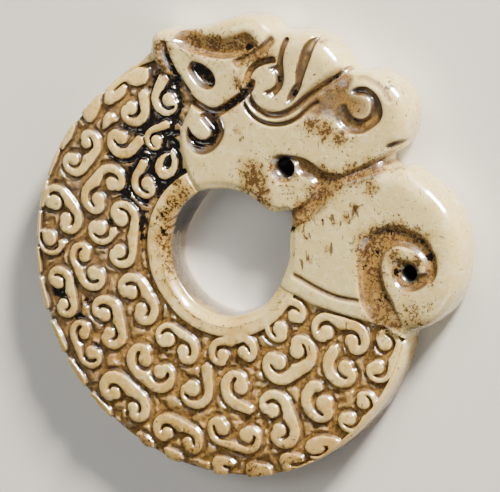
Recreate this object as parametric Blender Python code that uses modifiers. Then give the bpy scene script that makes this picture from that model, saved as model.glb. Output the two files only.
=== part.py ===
# Coiled-dragon pendant: one carved jade disc with the head biting towards the rolled-up tail.
# Metres, +Z up. The pendant lies on its back; +Y points to the top of the head.

import bpy
import bmesh
from math import ceil, cos, hypot, pi, radians, sin, sqrt
from mathutils import Vector

# Sizes of the carved disc
RING_RADIUS = 0.0338        # outer edge of the coiled body
BORE_RADIUS = 0.0106        # central opening at either face
BORE_WAIST = 0.0101         # the same opening halfway through, drilled from both sides
BORE_SHIFT_X = 0.0008       # the opening sits off the middle of the body,
BORE_SHIFT_Y = 0.0025       # nearer to the head
THICKNESS = 0.0072          # over the plain rims of the opening, front to back
EDGE_HEIGHT = 0.0050        # plain band round the outer edge
RIM_WIDTH = 0.0031          # plain rim round the opening
RIM_CHAMFER = 0.0003

# Carving
RELIEF = 0.0007             # how far the scrolls stand over the ground
FLAT_SHARE = 0.60           # share of the radius where the face starts to fall to the edge
BALL_RADIUS = 0.00110       # round end of a scroll
SLIT_WIDTH = 0.00055        # cut between the round end and its stroke
STROKE_WIDTH = 0.00155      # stroke of a scroll
SCROLL_SPAN = 0.0042        # between the two round ends of a full-size scroll
SCROLL_ROOT = 0.0005        # how deep a scroll is rooted in the ground
DOUBLE_WRAP = 100           # degrees that the slit winds round the round end
DOUBLE_FADE = 180           # degrees over which the stroke thins out to the round end
SINGLE_START = -60          # the same for a scroll with one open end
SINGLE_WRAP = 140
SINGLE_FADE = 240

# Head and tail
HEAD_PROUD = 0.0002         # head over the front rim
TAIL_PROUD = 0.0001         # tail over the front rim
BACK_STEP = 0.0001          # head and tail stay this much inside the plane of the back rim
HEAD_ROUNDING = 0.0016      # rounded edges of head and tail
LINE_WIDTH = 0.0012         # carved lines of the face
LINE_DEPTH = 0.0007
CROSS_SHARE = 0.7           # lines across the tail, against those of the face
VALLEY_WIDTH = 0.0026       # mouth line and the valley under the jaw
VALLEY_DEPTH = 0.0014
HOLLOW_DEPTH = 0.0010       # scooped hollows of the ears
MOUTH_HOLE = 0.0032         # drilled corner of the mouth
TAIL_HOLE = 0.0024          # drilled eye of the tail volute
HOLE_FLARE = 0.0009         # how much wider each drilled hole is at the face
NOTCH_RADIUS = 0.0025       # lobe of the opening where the valley runs into it

WELD = 0.000001             # points closer than this are one
RING_STEPS = 56
HOLE_STEPS = 12
FALL_STEPS = 4

JADE = (0.72, 0.62, 0.43, 1.0)

# Free-form outlines, as shares of RING_RADIUS from the middle of the central opening
HEAD_OUTLINE = (
    (-0.335, 0.930), (-0.310, 1.005), (-0.200, 1.030), (-0.080, 1.048), (0.040, 1.090), (0.150, 1.112),
    (0.245, 1.100), (0.300, 1.058), (0.380, 1.048), (0.465, 1.044), (0.562, 1.005), (0.640, 0.930),
    (0.690, 0.868), (0.760, 0.862), (0.852, 0.860), (0.943, 0.802), (0.984, 0.704), (0.962, 0.590),
    (0.880, 0.500), (0.790, 0.462), (0.690, 0.425), (0.590, 0.405), (0.505, 0.395), (0.470, 0.330),
    (0.400, 0.258), (0.300, 0.190), (0.100, 0.160), (-0.080, 0.210), (-0.165, 0.330), (-0.205, 0.440),
    (-0.205, 0.535), (-0.150, 0.630), (-0.140, 0.740), (-0.195, 0.850),
)
TAIL_OUTLINE = (
    (0.260, -0.140), (0.240, 0.060), (0.330, 0.160), (0.420, 0.230), (0.500, 0.330), (0.600, 0.370),
    (0.700, 0.382), (0.800, 0.415), (0.870, 0.440), (0.950, 0.432), (1.030, 0.390), (1.105, 0.325),
    (1.175, 0.250), (1.220, 0.160), (1.232, 0.060), (1.220, -0.040), (1.190, -0.140), (1.125, -0.235),
    (1.040, -0.305), (0.940, -0.340), (0.840, -0.318), (0.720, -0.282), (0.600, -0.255), (0.420, -0.205),
)
EAR_HOLLOW = (
    (-0.215, 0.975), (-0.120, 1.005), (0.020, 1.010), (0.130, 1.040), (0.225, 1.045), (0.250, 1.010),
    (0.190, 0.965), (0.090, 0.925), (-0.010, 0.918), (-0.120, 0.940),
)
TEARDROP_HOLLOW = (
    (-0.130, 0.895), (-0.070, 0.885), (0.005, 0.845), (0.015, 0.795), (-0.030, 0.765), (-0.085, 0.785),
    (-0.125, 0.830),
)

# Carved lines, as shares of RING_RADIUS, each with its share of the usual line width
FACE_LINES = (
    (1.0, ((0.175, 0.880), (0.165, 0.800), (0.195, 0.705), (0.270, 0.655), (0.350, 0.645), (0.430, 0.690),
           (0.520, 0.765), (0.600, 0.845), (0.655, 0.905))),
    (0.7, ((0.285, 0.885), (0.345, 0.885), (0.365, 0.835), (0.345, 0.775), (0.290, 0.750))),
    (0.6, ((0.550, 0.985), (0.490, 0.930), (0.450, 0.850), (0.415, 0.770))),
    (1.1, ((0.735, 0.800), (0.800, 0.805), (0.850, 0.770), (0.860, 0.710), (0.815, 0.655), (0.750, 0.635))),
    (0.9, ((-0.140, 0.560), (-0.110, 0.510), (-0.045, 0.500), (0.005, 0.545), (0.015, 0.610),
           (-0.030, 0.665))),
    (1.0, ((-0.130, 0.700), (-0.060, 0.655), (0.040, 0.690), (0.120, 0.760))),
)
VALLEYS = (
    ((0.400, 0.475), (0.480, 0.450), (0.540, 0.400), (0.610, 0.392), (0.700, 0.405), (0.790, 0.445),
     (0.900, 0.500)),
    ((0.550, 0.390), (0.490, 0.300), (0.420, 0.215), (0.300, 0.140)),
)
VOLUTE_LINE = (
    (0.985, -0.345), (0.890, -0.310), (0.790, -0.240), (0.735, -0.140), (0.730, -0.030), (0.765, 0.060),
    (0.840, 0.130), (0.930, 0.155), (1.010, 0.135), (1.065, 0.070), (1.080, -0.010), (1.055, -0.075),
)
CROSS_LINES = (
    ((0.310, -0.085), (0.480, -0.130), (0.700, -0.185)),
    ((0.300, -0.150), (0.460, -0.215), (0.610, -0.260), (0.760, -0.295), (0.880, -0.325)),
)
MOUTH_AT = (0.333, 0.407)
TAIL_EYE_AT = (0.962, -0.052)
NOTCH_AT = (0.293, 0.130)

# Double scrolls of the front: angle round the opening, share of the way from rim to edge, the way the
# back of the stroke faces as an angle from straight outward, and size against SCROLL_SPAN
DOUBLE_SCROLLS = (
    (122, 0.20, 140, 0.62), (133, 0.53, 126, 0.85), (149, 0.78, 168, 0.78), (157, 0.44, 337, 0.86),
    (171, 0.77, 207, 0.84), (175, 0.22, 174, 1.05), (188, 0.51, 22, 0.82), (195, 0.80, 180, 0.90),
    (208, 0.20, 186, 0.95), (210, 0.50, 168, 0.95), (213, 0.78, 351, 0.85), (232, 0.80, 183, 0.95),
    (236, 0.46, 353, 0.88), (240, 0.18, 176, 0.88), (252, 0.80, 182, 0.88), (271, 0.70, 346, 0.88),
    (274, 0.14, 179, 0.95), (287, 0.66, 91, 0.92), (304, 0.30, 353, 0.95), (311, 0.84, 4, 0.85),
    (314, 0.12, 178, 0.85), (328, 0.48, 107, 1.00), (332, 0.84, 10, 0.90),
)
# Single scrolls: angle, share, the way the open end points, size, and +1 where it winds clockwise
SINGLE_SCROLLS = (
    (111, 0.58, 353, 0.75, -1), (121, 0.38, 294, 0.75, -1), (125, 0.74, 292, 0.95, 1),
    (139, 0.18, 318, 0.85, -1), (172, 0.47, 153, 0.72, 1), (180, 0.86, 160, 0.75, 1),
    (252, 0.46, 154, 0.98, 1), (275, 0.42, 191, 0.98, -1), (296, 0.88, 224, 0.70, -1),
    (306, 0.64, 160, 0.98, -1), (321, 0.62, 170, 0.90, -1),
)
# The back is plainer: two rows of single scrolls that follow one another round the body
BACK_ROWS = ((0.24, 5, 1.15), (0.70, 7, 1.25))
BACK_SWEEP = (128, 322)     # degrees of the body between head and tail

bore_middle = Vector((BORE_SHIFT_X, BORE_SHIFT_Y))
half = THICKNESS / 2
rim_radius = BORE_RADIUS + RIM_WIDTH


def reach(angle):
    # distance from the middle of the opening to the outer edge of the body, along an angle
    along = BORE_SHIFT_X * cos(angle) + BORE_SHIFT_Y * sin(angle)
    return sqrt(along * along + RING_RADIUS ** 2 - bore_middle.length_squared) - along


def face_height(x, y):
    # height of the scroll tops over the middle plane: flat, then an elliptic fall to the edge band
    out = hypot(x + BORE_SHIFT_X, y + BORE_SHIFT_Y) / RING_RADIUS
    fall = min(1.0, max(0.0, (out - FLAT_SHARE) / (1 - FLAT_SHARE)))
    return EDGE_HEIGHT / 2 + (half - EDGE_HEIGHT / 2) * sqrt(1 - fall * fall)


def place(points):
    return [Vector(point) * RING_RADIUS for point in points]


def spline_through(points, closed, steps=2):
    # Catmull-Rom curve through the points, with steps pieces between neighbours
    count = len(points)
    result = []
    for i in range(count if closed else count - 1):
        if closed:
            a, b, c, d = (points[(i + k) % count] for k in (-1, 0, 1, 2))
        else:
            a, b, c, d = (points[min(max(i + k, 0), count - 1)] for k in (-1, 0, 1, 2))
        for k in range(steps):
            t = k / steps
            result.append(0.5 * ((2 * b) + (c - a) * t + (2 * a - 5 * b + 4 * c - d) * t ** 2
                                 + (3 * b - a - 3 * c + d) * t ** 3))
    if not closed:
        result.append(points[-1])
    return result


def new_collection(name):
    collection = bpy.data.collections.new(name)
    bpy.context.scene.collection.children.link(collection)
    return collection


def add_object(name, data, collection):
    obj = bpy.data.objects.new(name, data)
    collection.objects.link(obj)
    return obj


def as_mesh(source, collection):
    # a welded mesh copy of a curve or turned object, which it replaces
    bpy.context.view_layer.update()
    graph = bpy.context.evaluated_depsgraph_get()
    mesh = bpy.data.meshes.new_from_object(source.evaluated_get(graph))
    bm = bmesh.new()
    bm.from_mesh(mesh)
    bmesh.ops.remove_doubles(bm, verts=bm.verts, dist=WELD)
    bmesh.ops.recalc_face_normals(bm, faces=bm.faces)
    bm.to_mesh(mesh)
    bm.free()
    name = source.name
    matrix = source.matrix_world.copy()
    bpy.data.objects.remove(source)
    obj = add_object(name, mesh, collection)
    obj.matrix_world = matrix
    return obj


def curve_object(name, points, closed, dimensions, collection):
    data = bpy.data.curves.new(name, 'CURVE')
    data.dimensions = dimensions
    spline = data.splines.new('POLY')
    spline.points.add(len(points) - 1)
    for target, point in zip(spline.points, points):
        z = point[2] if len(point) > 2 else 0.0
        target.co = (point[0], point[1], z, 1.0)
    spline.use_cyclic_u = closed
    return add_object(name, data, collection)


def slab(name, outline, bottom, top, rounding, collection):
    # flat outline between two heights, with rounded edges
    obj = curve_object(name, outline, True, '2D', collection)
    obj.data.fill_mode = 'BOTH'
    obj.data.extrude = (top - bottom) / 2 - rounding
    obj.data.bevel_depth = rounding
    obj.data.bevel_resolution = 1
    obj.data.offset = -rounding
    obj.location.z = (top + bottom) / 2
    return as_mesh(obj, collection)


def groove(name, path, width, depth, surface, collection):
    # tube laid along a path so that it cuts a channel of this width and depth into the surface
    radius = (width * width / 4 + depth * depth) / (2 * depth)
    lift = surface + radius - depth
    points = [(p[0], p[1], lift) for p in spline_through(place(path), False)]
    obj = curve_object(name, points, False, '3D', collection)
    obj.data.bevel_depth = radius
    obj.data.bevel_resolution = 1
    obj.data.use_fill_caps = True
    return as_mesh(obj, collection)


def turned(name, profile, middle, steps, collection):
    # closed profile of (radius, height) points turned about a vertical axis, which it may touch
    mesh = bpy.data.meshes.new(name)
    count = len(profile)
    edges = [(i, (i + 1) % count) for i in range(count)]
    edges = [(i, j) for i, j in edges if profile[i][0] + profile[j][0] > 0]
    mesh.from_pydata([(r, 0, z) for r, z in profile], edges, [])
    obj = add_object(name, mesh, collection)
    obj.location = (middle[0], middle[1], 0)
    screw = obj.modifiers.new("turn", 'SCREW')
    screw.axis = 'Z'
    screw.steps = steps
    screw.render_steps = steps
    screw.use_merge_vertices = True
    screw.merge_threshold = WELD
    screw.use_normal_calculate = True
    return as_mesh(obj, collection)


def drilled(name, at, diameter, collection):
    # hole right through, flared at both faces like one drilled from either side
    radius = diameter / 2
    top = half + HEAD_PROUD
    profile = [(radius + HOLE_FLARE, top + RELIEF), (radius + HOLE_FLARE, top), (radius, half / 2),
               (radius, -half / 2), (radius + HOLE_FLARE, -top), (radius + HOLE_FLARE, -top - RELIEF),
               (0, -top - RELIEF), (0, top + RELIEF)]
    return turned(name, profile[::-1], Vector(at) * RING_RADIUS, HOLE_STEPS, collection)


def steps_between(first, last, stride):
    # evenly spaced angles from first to last, no further apart than the stride
    count = ceil(abs(last - first) / stride)
    return [first + (last - first) * i / count for i in range(count + 1)]


def scroll_end(middle_x, side, start, wrap, fade, size):
    # outline of one curled end: the outer edge winds in until it meets the round end, then the round
    # end is followed back into the slit, and the inner edge of the stroke leads out again
    ball = BALL_RADIUS * size
    slit = SLIT_WIDTH * size
    stroke = STROKE_WIDTH * size
    polar = [(angle, ball + (slit + stroke) * cos(pi / 2 * max(0, angle) / fade))
             for angle in steps_between(start, fade, 40)[:-1]]
    polar += [(angle, ball) for angle in steps_between(fade, 360 + wrap, 60)]
    polar += [(angle, ball + slit) for angle in steps_between(wrap, start, 60)]
    return [Vector((side * (middle_x + r * sin(radians(a))), r * cos(radians(a)))) for a, r in polar]


def double_outline(size):
    span = SCROLL_SPAN * size / 2
    right = scroll_end(span, 1, 0, DOUBLE_WRAP, DOUBLE_FADE, size)
    left = scroll_end(span, -1, 0, DOUBLE_WRAP, DOUBLE_FADE, size)
    return right + left[::-1]


def single_outline(size, wind):
    return scroll_end(0, wind, SINGLE_START, SINGLE_WRAP, SINGLE_FADE, size)


def field_point(angle, share):
    # a place on the body: share 0 at the rim of the opening, 1 at the outer edge
    radius = rim_radius + (reach(angle) - rim_radius) * share
    return Vector((radius * cos(angle), radius * sin(angle)))


def add_scroll(bm, outline, at, turn, face):
    # prism of the outline whose top follows the swelling face; face is 1 in front and -1 behind
    rotation = turn - pi / 2
    top = []
    root = []
    for point in outline:
        x = at.x + point.x * cos(rotation) - point.y * sin(rotation)
        y = at.y + point.x * sin(rotation) + point.y * cos(rotation)
        z = face_height(x, y)
        top.append(bm.verts.new((x, y, face * z)))
        root.append(bm.verts.new((x, y, face * (z - RELIEF - SCROLL_ROOT))))
    count = len(top)
    bm.faces.new(top)
    bm.faces.new(root[::-1])
    for i in range(count):
        j = (i + 1) % count
        bm.faces.new((top[i], root[i], root[j], top[j]))


def scrolls(collection):
    # all the scrolls of both faces, as one object of separate closed prisms
    bm = bmesh.new()
    for angle, share, turn, size in DOUBLE_SCROLLS:
        angle = radians(angle)
        add_scroll(bm, double_outline(size), field_point(angle, share), angle + radians(turn), 1)
    for angle, share, turn, size, wind in SINGLE_SCROLLS:
        angle = radians(angle)
        open_end = radians(SINGLE_START) * wind
        add_scroll(bm, single_outline(size, wind), field_point(angle, share),
                   angle + radians(turn) + open_end, 1)
    first, last = BACK_SWEEP
    for share, count, size in BACK_ROWS:
        for i in range(count):
            angle = radians(first + (last - first) * (i + 0.5) / count)
            add_scroll(bm, single_outline(size, 1), field_point(angle, share), angle, -1)
    bmesh.ops.recalc_face_normals(bm, faces=bm.faces)
    mesh = bpy.data.meshes.new("scrolls")
    bm.to_mesh(mesh)
    bm.free()
    return add_object("scrolls", mesh, collection)


def boolean(target, tool, operation, overlapping=False):
    modifier = target.modifiers.new(tool.name, 'BOOLEAN')
    modifier.operation = operation
    modifier.object = tool
    modifier.solver = 'EXACT'
    modifier.use_self = overlapping
    tool.hide_render = True
    tool.display_type = 'WIRE'


def body_disc(name, collection):
    # the coiled body without its scrolls: a disc with swelling faces and a plain edge band
    ground = half - RELIEF
    band = EDGE_HEIGHT / 2 - RELIEF
    corner = RELIEF / 2
    fall = []
    for i in range(FALL_STEPS + 1):
        lean = radians(90 * i / FALL_STEPS)
        radius = RING_RADIUS * (FLAT_SHARE + (1 - FLAT_SHARE) * sin(lean)) - corner * (i == FALL_STEPS)
        fall.append((radius, band + (ground - band) * cos(lean)))
    front = fall + [(RING_RADIUS, band - corner)]
    back = [(radius, -height) for radius, height in reversed(front)]
    profile = [(0, ground)] + front + back + [(0, -ground)]
    return turned(name, profile, -bore_middle, RING_STEPS, collection)


def rim_collar(collection):
    inner = BORE_WAIST - RIM_WIDTH
    outer = rim_radius
    flat = outer - RIM_CHAMFER
    profile = [(inner, half), (flat, half), (outer, half - RIM_CHAMFER), (outer, RIM_CHAMFER - half),
               (flat, -half), (inner, -half)]
    return turned("rim_collar", profile, (0, 0), RING_STEPS, collection)


def bore_cutter(collection):
    beyond = half + HEAD_PROUD + RELIEF
    slope = (BORE_RADIUS - BORE_WAIST) / half
    edge = BORE_WAIST + slope * beyond
    profile = [(0, beyond), (edge, beyond), (BORE_WAIST, 0), (edge, -beyond), (0, -beyond)]
    return turned("bore", profile, (0, 0), RING_STEPS, collection)


def notch_cutter(collection):
    beyond = half + HEAD_PROUD + RELIEF
    profile = [(0, beyond), (NOTCH_RADIUS, beyond), (NOTCH_RADIUS, -beyond), (0, -beyond)]
    return turned("notch", profile, Vector(NOTCH_AT) * RING_RADIUS, HOLE_STEPS, collection)


def hollow(name, outline, collection):
    points = spline_through(place(outline), True)
    top = half + HEAD_PROUD
    return slab(name, points, top - HOLLOW_DEPTH, top + RELIEF + HEAD_ROUNDING, HOLLOW_DEPTH / 2, collection)


def jade():
    material = bpy.data.materials.new("aged_jade")
    material.use_nodes = True
    shader = material.node_tree.nodes["Principled BSDF"]
    shader.inputs["Base Color"].default_value = JADE
    shader.inputs["Roughness"].default_value = 0.3
    shader.inputs["Metallic"].default_value = 0.0
    return material


def stand_on_origin(pendant):
    # everything hangs from one empty, moved so that the pendant's box stands centred on the origin
    bpy.context.view_layer.update()
    graph = bpy.context.evaluated_depsgraph_get()
    corners = [pendant.matrix_world @ Vector(corner) for corner in pendant.evaluated_get(graph).bound_box]
    low = Vector([min(corner[i] for corner in corners) for i in range(3)])
    high = Vector([max(corner[i] for corner in corners) for i in range(3)])
    anchor = add_object("bore_middle", None, pendant.users_collection[0])
    for obj in bpy.data.objects:
        if obj.type == 'MESH':
            obj.parent = anchor
    anchor.location = (-(low.x + high.x) / 2, -(low.y + high.y) / 2, -low.z)


def build():
    for obj in list(bpy.data.objects):
        bpy.data.objects.remove(obj)
    parts = new_collection("dragon_pendant_parts")
    cutters = new_collection("cutters")

    pendant = body_disc("dragon_pendant", parts)
    pendant.data.materials.append(jade())
    boolean(pendant, rim_collar(cutters), 'UNION')
    boolean(pendant, scrolls(cutters), 'UNION', overlapping=True)

    top = half + HEAD_PROUD
    head = slab("head", spline_through(place(HEAD_OUTLINE), True), BACK_STEP - half, top,
                HEAD_ROUNDING, cutters)
    for i, (share, path) in enumerate(FACE_LINES):
        line = groove(f"face_line_{i}", path, LINE_WIDTH * share, LINE_DEPTH * share, top, cutters)
        boolean(head, line, 'DIFFERENCE')
    boolean(head, hollow("ear_hollow", EAR_HOLLOW, cutters), 'DIFFERENCE')
    boolean(head, hollow("teardrop_hollow", TEARDROP_HOLLOW, cutters), 'DIFFERENCE')

    tail = slab("tail", spline_through(place(TAIL_OUTLINE), True), BACK_STEP - half, half + TAIL_PROUD,
                HEAD_ROUNDING, cutters)
    boolean(tail, groove("volute_line", VOLUTE_LINE, VALLEY_WIDTH, VALLEY_DEPTH, top, cutters), 'DIFFERENCE')
    for i, path in enumerate(CROSS_LINES):
        line = groove(f"cross_line_{i}", path, LINE_WIDTH * CROSS_SHARE, LINE_DEPTH * CROSS_SHARE,
                      half + TAIL_PROUD, cutters)
        boolean(tail, line, 'DIFFERENCE')
    for i, path in enumerate(VALLEYS):
        valley = groove(f"valley_{i}", path, VALLEY_WIDTH, VALLEY_DEPTH, top, cutters)
        boolean(head, valley, 'DIFFERENCE')
        boolean(tail, valley, 'DIFFERENCE')

    boolean(pendant, head, 'UNION')
    boolean(pendant, tail, 'UNION')
    boolean(pendant, drilled("mouth_hole", MOUTH_AT, MOUTH_HOLE, cutters), 'DIFFERENCE')
    boolean(pendant, drilled("tail_hole", TAIL_EYE_AT, TAIL_HOLE, cutters), 'DIFFERENCE')
    boolean(pendant, notch_cutter(cutters), 'DIFFERENCE')
    boolean(pendant, bore_cutter(cutters), 'DIFFERENCE')
    stand_on_origin(pendant)


build()
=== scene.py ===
import bpy
import numpy as np
from mathutils import Matrix, Vector


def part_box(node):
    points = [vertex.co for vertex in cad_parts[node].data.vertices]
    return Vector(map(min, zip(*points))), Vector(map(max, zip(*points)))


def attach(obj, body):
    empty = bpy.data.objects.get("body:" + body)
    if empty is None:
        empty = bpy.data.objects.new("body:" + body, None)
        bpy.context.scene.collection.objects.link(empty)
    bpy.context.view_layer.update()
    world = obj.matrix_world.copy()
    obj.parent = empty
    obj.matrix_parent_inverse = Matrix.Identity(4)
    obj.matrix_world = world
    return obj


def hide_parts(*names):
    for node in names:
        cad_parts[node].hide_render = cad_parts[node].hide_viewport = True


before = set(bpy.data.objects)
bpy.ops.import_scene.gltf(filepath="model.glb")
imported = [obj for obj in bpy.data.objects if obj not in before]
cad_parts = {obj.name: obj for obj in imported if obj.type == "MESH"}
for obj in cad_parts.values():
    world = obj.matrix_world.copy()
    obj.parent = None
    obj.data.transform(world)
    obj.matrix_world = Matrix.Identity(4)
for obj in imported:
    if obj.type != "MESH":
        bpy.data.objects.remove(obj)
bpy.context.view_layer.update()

print("frame loaded")

# All lengths below are millimetres measured from the middle of the round opening, half way through the
# stone, unless a line says otherwise: x to the tail, y to the top of the head, z out of the carved front.

# What the carving is built from
stone = {
    "ringRadius": 33.8,             # coiled body
    "ringOffset": (-0.8, -2.5),     # middle of the body, seen from the middle of the opening
    "halfThickness": 3.6,
    "edgeHeight": 2.5,              # half of the plain band round the edge
    "edgeHeightLeft": 1.7,          # the same on the left, where the scrolls run over the shoulder
    "shoulderFrom": 0.60,           # share of the radius where the face starts to fall
    "rimRadius": 13.6,              # outside of the plain rim round the opening
    "relief": 0.68,                 # scrolls over the cut ground
    "wallWidth": 0.24,              # how far the wall of a scroll leans
    "islandHeight": 0.6,            # raised islands in the ground, as a share of the relief
    "wander": 0.10,                 # how far the outlines stray, like hand work
    "edgeBorder": 0.85,             # plain band along the edge below the tail
    "edgeRecess": 0.42,             # how far the ground is cut back at the edge on the left
    "headProud": 0.18,              # head over the rim
    "headRounding": (3.4, 1.9),     # rounded edge of head and tail: width and fall
    "headBlend": (-0.22, 0.12),     # across the plain patch's outline: where the skin of the head takes over
    "wallFoot": (0.24, 0.15),       # dirt and painted shade at the foot of a scroll: distance from its outline and width
    "lipRounding": (0.45, 0.32),    # rounded edge of the opening: width and fall
    "lipSlant": (1.35, 0.30),       # worn slope behind it: width and fall
    "lipSlantLow": (0.15, 0.55),    # what is added to both at the lower left, where it is worn most
    "waist": 0.28,                  # the opening is narrower half way through
    "backRelief": 0.85,             # relief of the back, as a share of the front's
    "backIslandHeight": 0.4,
    "backClear": 0.03,              # carved back over the table that the rim lies on
    "backHeadRounding": (3.4, 1.6),
    "backLipRounding": (0.5, 0.45),
    "columns": 1400,
    "frontRows": 210,
    "sideRows": 12,
    "backRows": 84,
    "wallRows": 24,
    "triangles": 190000,
}
perMetre = 1000                     # millimetres in a metre, which is what Blender counts in

# Rim of the opening at the front: degrees from the tail side, distance in millimetres
openingFront = (
    (0, 11.7), (9, 11.95), (14, 12.3), (18.5, 12.75), (22, 13.3), (26, 13.6), (30, 13.65), (32.4, 13.5),
    (33.6, 12.6), (34.8, 12.0), (37.5, 11.35), (41, 10.98), (46, 10.78), (53, 10.62), (63, 10.53),
    (74, 10.37), (88, 10.2), (110, 10.3), (130, 10.02), (150, 9.95), (175, 9.8), (195, 9.8), (215, 10.1),
    (240, 10.4), (270, 10.48), (300, 10.5), (316, 10.6), (334, 10.82), (350, 11.3),
)
openingBack = (
    (0, 10.9), (14, 11.4), (24, 12.6), (31, 12.7), (36, 11.4), (46, 10.75), (70, 10.5), (110, 10.5),
    (180, 10.6), (225, 10.85), (270, 10.6), (330, 10.7),
)

# Outer edge where it leaves the circle of the body: neck, ear, brow, snout, mouth, tail
edgeKnots = (
    (-19.5, 25.9), (-16.8, 27.7), (-13.6, 30.2), (-11.7, 32.0), (-11.5, 33.2), (-10.7, 34.4), (-8.9, 34.9),
    (-6.7, 34.9), (-2.7, 35.4), (1.3, 36.7), (4.8, 37.55), (8.0, 37.3), (9.5, 36.3), (10.6, 35.5),
    (12.4, 35.3), (15.7, 35.4), (19.0, 34.3), (21.5, 31.9), (22.7, 29.9), (24.3, 29.3), (26.6, 29.6),
    (28.9, 29.1), (31.9, 27.1), (33.4, 23.8), (33.0, 20.6), (31.9, 18.4), (30.2, 17.0), (28.4, 15.6),
    (29.7, 14.5), (32.1, 14.5), (34.3, 13.3), (37.2, 11.2), (39.6, 8.6), (41.0, 5.6), (41.5, 2.3),
    (41.2, -1.1), (40.3, -4.5), (38.3, -7.6), (35.7, -9.9), (33.0, -11.0), (31.6, -11.5), (31.2, -12.3),
    (30.9, -13.6), (29.6, -17.4),
)

# The part of the front that carries no scrolls, outlined only where it borders them
plainPatch = (
    (-11.9, 31.9), (-10.9, 30.3), (-9.4, 28.4), (-7.6, 27.6), (-6.3, 27.4), (-5.0, 25.6), (-4.2, 24.2),
    (-4.9, 22.4), (-5.9, 20.8), (-6.7, 19.1), (-7.0, 17.3), (-6.8, 15.6), (-6.3, 13.8), (-5.6, 11.6),
    (-4.2, 9.4), (0, 0), (10.6, -5.2), (15.5, -7.5), (20.6, -8.8), (25.5, -9.8), (28.3, -10.6),
    (31.2, -12.4), (60, -14), (60, 60), (-13, 60), (-13, 34),
)

# Scrolls with two curled ends: middle of the first and of the second round end, +1 where the back of the
# stroke lies to the left of the way between them, how far the back stands off each middle, radius of each
# round end, width of the slit, how far it winds round each end in degrees, depth of the point in between
pairScrolls = (
    (-23.9, 16.3, -26.3, 13.6, 1, 2.8, 2.8, 0.90, 1.01, 0.54, 100, 105, 0.47),
    (-19.5, 10.0, -22.1, 7.4, -1, 3.2, 3.2, 1.13, 1.13, 0.70, 106, 109, 0.43),
    (-30.2, 6.4, -28.3, 3.9, 1, 3.0, 3.1, 1.25, 1.08, 0.65, 105, 100, 0.40),
    (-18.2, 4.5, -18.8, -0.8, 1, 3.2, 3.0, 1.34, 1.13, 0.60, 105, 106, 0.53),
    (-25.2, -1.9, -23.7, -4.6, -1, 2.7, 3.0, 0.97, 1.16, 0.65, 106, 102, 0.47),
    (-30.4, -6.5, -29.6, -9.9, 1, 2.9, 2.6, 1.04, 0.90, 0.50, 112, 105, 0.52),
    (-17.1, -7.3, -15.4, -10.0, 1, 3.2, 3.2, 1.18, 1.09, 0.66, 105, 97, 0.44),
    (-22.2, -11.2, -21.4, -14.1, 1, 3.4, 3.1, 1.17, 0.98, 0.65, 125, 105, 0.56),
    (-26.1, -14.5, -24.9, -17.5, -1, 2.6, 2.7, 0.94, 1.12, 0.68, 99, 110, 0.36),
    (-10.8, -14.6, -8.2, -16.3, 1, 2.7, 3.0, 1.22, 1.04, 0.60, 105, 106, 0.29),
    (-15.1, -18.0, -12.6, -19.9, -1, 3.5, 3.5, 1.22, 1.17, 0.74, 106, 127, 0.55),
    (-1.0, -16.6, 2.6, -15.9, 1, 2.8, 3.0, 1.06, 1.00, 0.58, 110, 105, 0.45),
    (-21.1, -23.9, -17.9, -26.1, 1, 3.7, 3.3, 1.03, 0.99, 0.61, 112, 112, 0.47),
    (-11.9, -29.8, -8.4, -31.1, 1, 3.2, 3.0, 1.01, 0.94, 0.55, 108, 100, 0.44),
    (-1.9, -28.4, 2.3, -29.3, -1, 2.9, 3.0, 1.18, 1.25, 0.69, 97, 105, 0.30),
    (12.0, -9.6, 9.5, -11.8, -1, 2.9, 2.8, 1.07, 1.31, 0.63, 97, 107, 0.38),
    (17.7, -11.9, 22.0, -13.1, 1, 3.1, 3.4, 1.20, 1.16, 0.64, 109, 106, 0.58),
    (8.9, -17.1, 12.2, -15.1, -1, 3.7, 3.7, 1.30, 1.30, 0.65, 105, 105, 0.50),
    (27.7, -13.1, 26.1, -17.1, 1, 2.7, 2.6, 1.25, 1.17, 0.63, 105, 98, 0.32),
    (7.3, -25.0, 8.3, -28.1, 1, 3.6, 3.6, 1.22, 1.17, 0.70, 125, 105, 0.46),
    (23.3, -22.9, 20.7, -25.6, 1, 2.4, 2.4, 1.11, 1.12, 0.56, 105, 99, 0.27),
)
# Scrolls with one curled end: middle of the round end, open end, side, reach, radius, slit, winding, width
# of the open end
openScrolls = (
    (-15.4, 22.3, -13.1, 24.7, -1, 3.3, 1.09, 0.70, 125, 1.73),
    (-17.4, 17.5, -13.9, 17.3, -1, 3.4, 1.09, 0.68, 122, 1.48),
    (-8.5, 23.9, -9.3, 27.4, 1, 3.1, 1.11, 0.67, 170, 1.78),
    (-11.0, 17.3, -8.9, 20.0, 1, 2.2, 0.92, 0.42, 140, 1.25),
    (-13.0, 10.3, -13.4, 13.7, 1, 2.9, 1.13, 0.64, 136, 1.34),
    (-22.1, 2.8, -19.5, 2.5, -1, 2.8, 1.22, 0.68, 110, 1.45),
    (-31.6, 0.7, -29.2, 0.1, -1, 2.9, 1.34, 0.78, 170, 1.34),
    (-6.9, -22.2, -4.1, -18.6, -1, 3.7, 1.36, 0.85, 150, 1.81),
    (1.9, -21.5, 3.4, -25.2, -1, 3.9, 1.29, 0.76, 134, 1.28),
    (20.7, -17.4, 19.0, -14.4, 1, 4.0, 1.29, 0.73, 130, 1.52),
    (16.6, -23.4, 16.0, -20.8, 1, 4.2, 1.49, 0.81, 139, 1.61),
)
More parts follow.
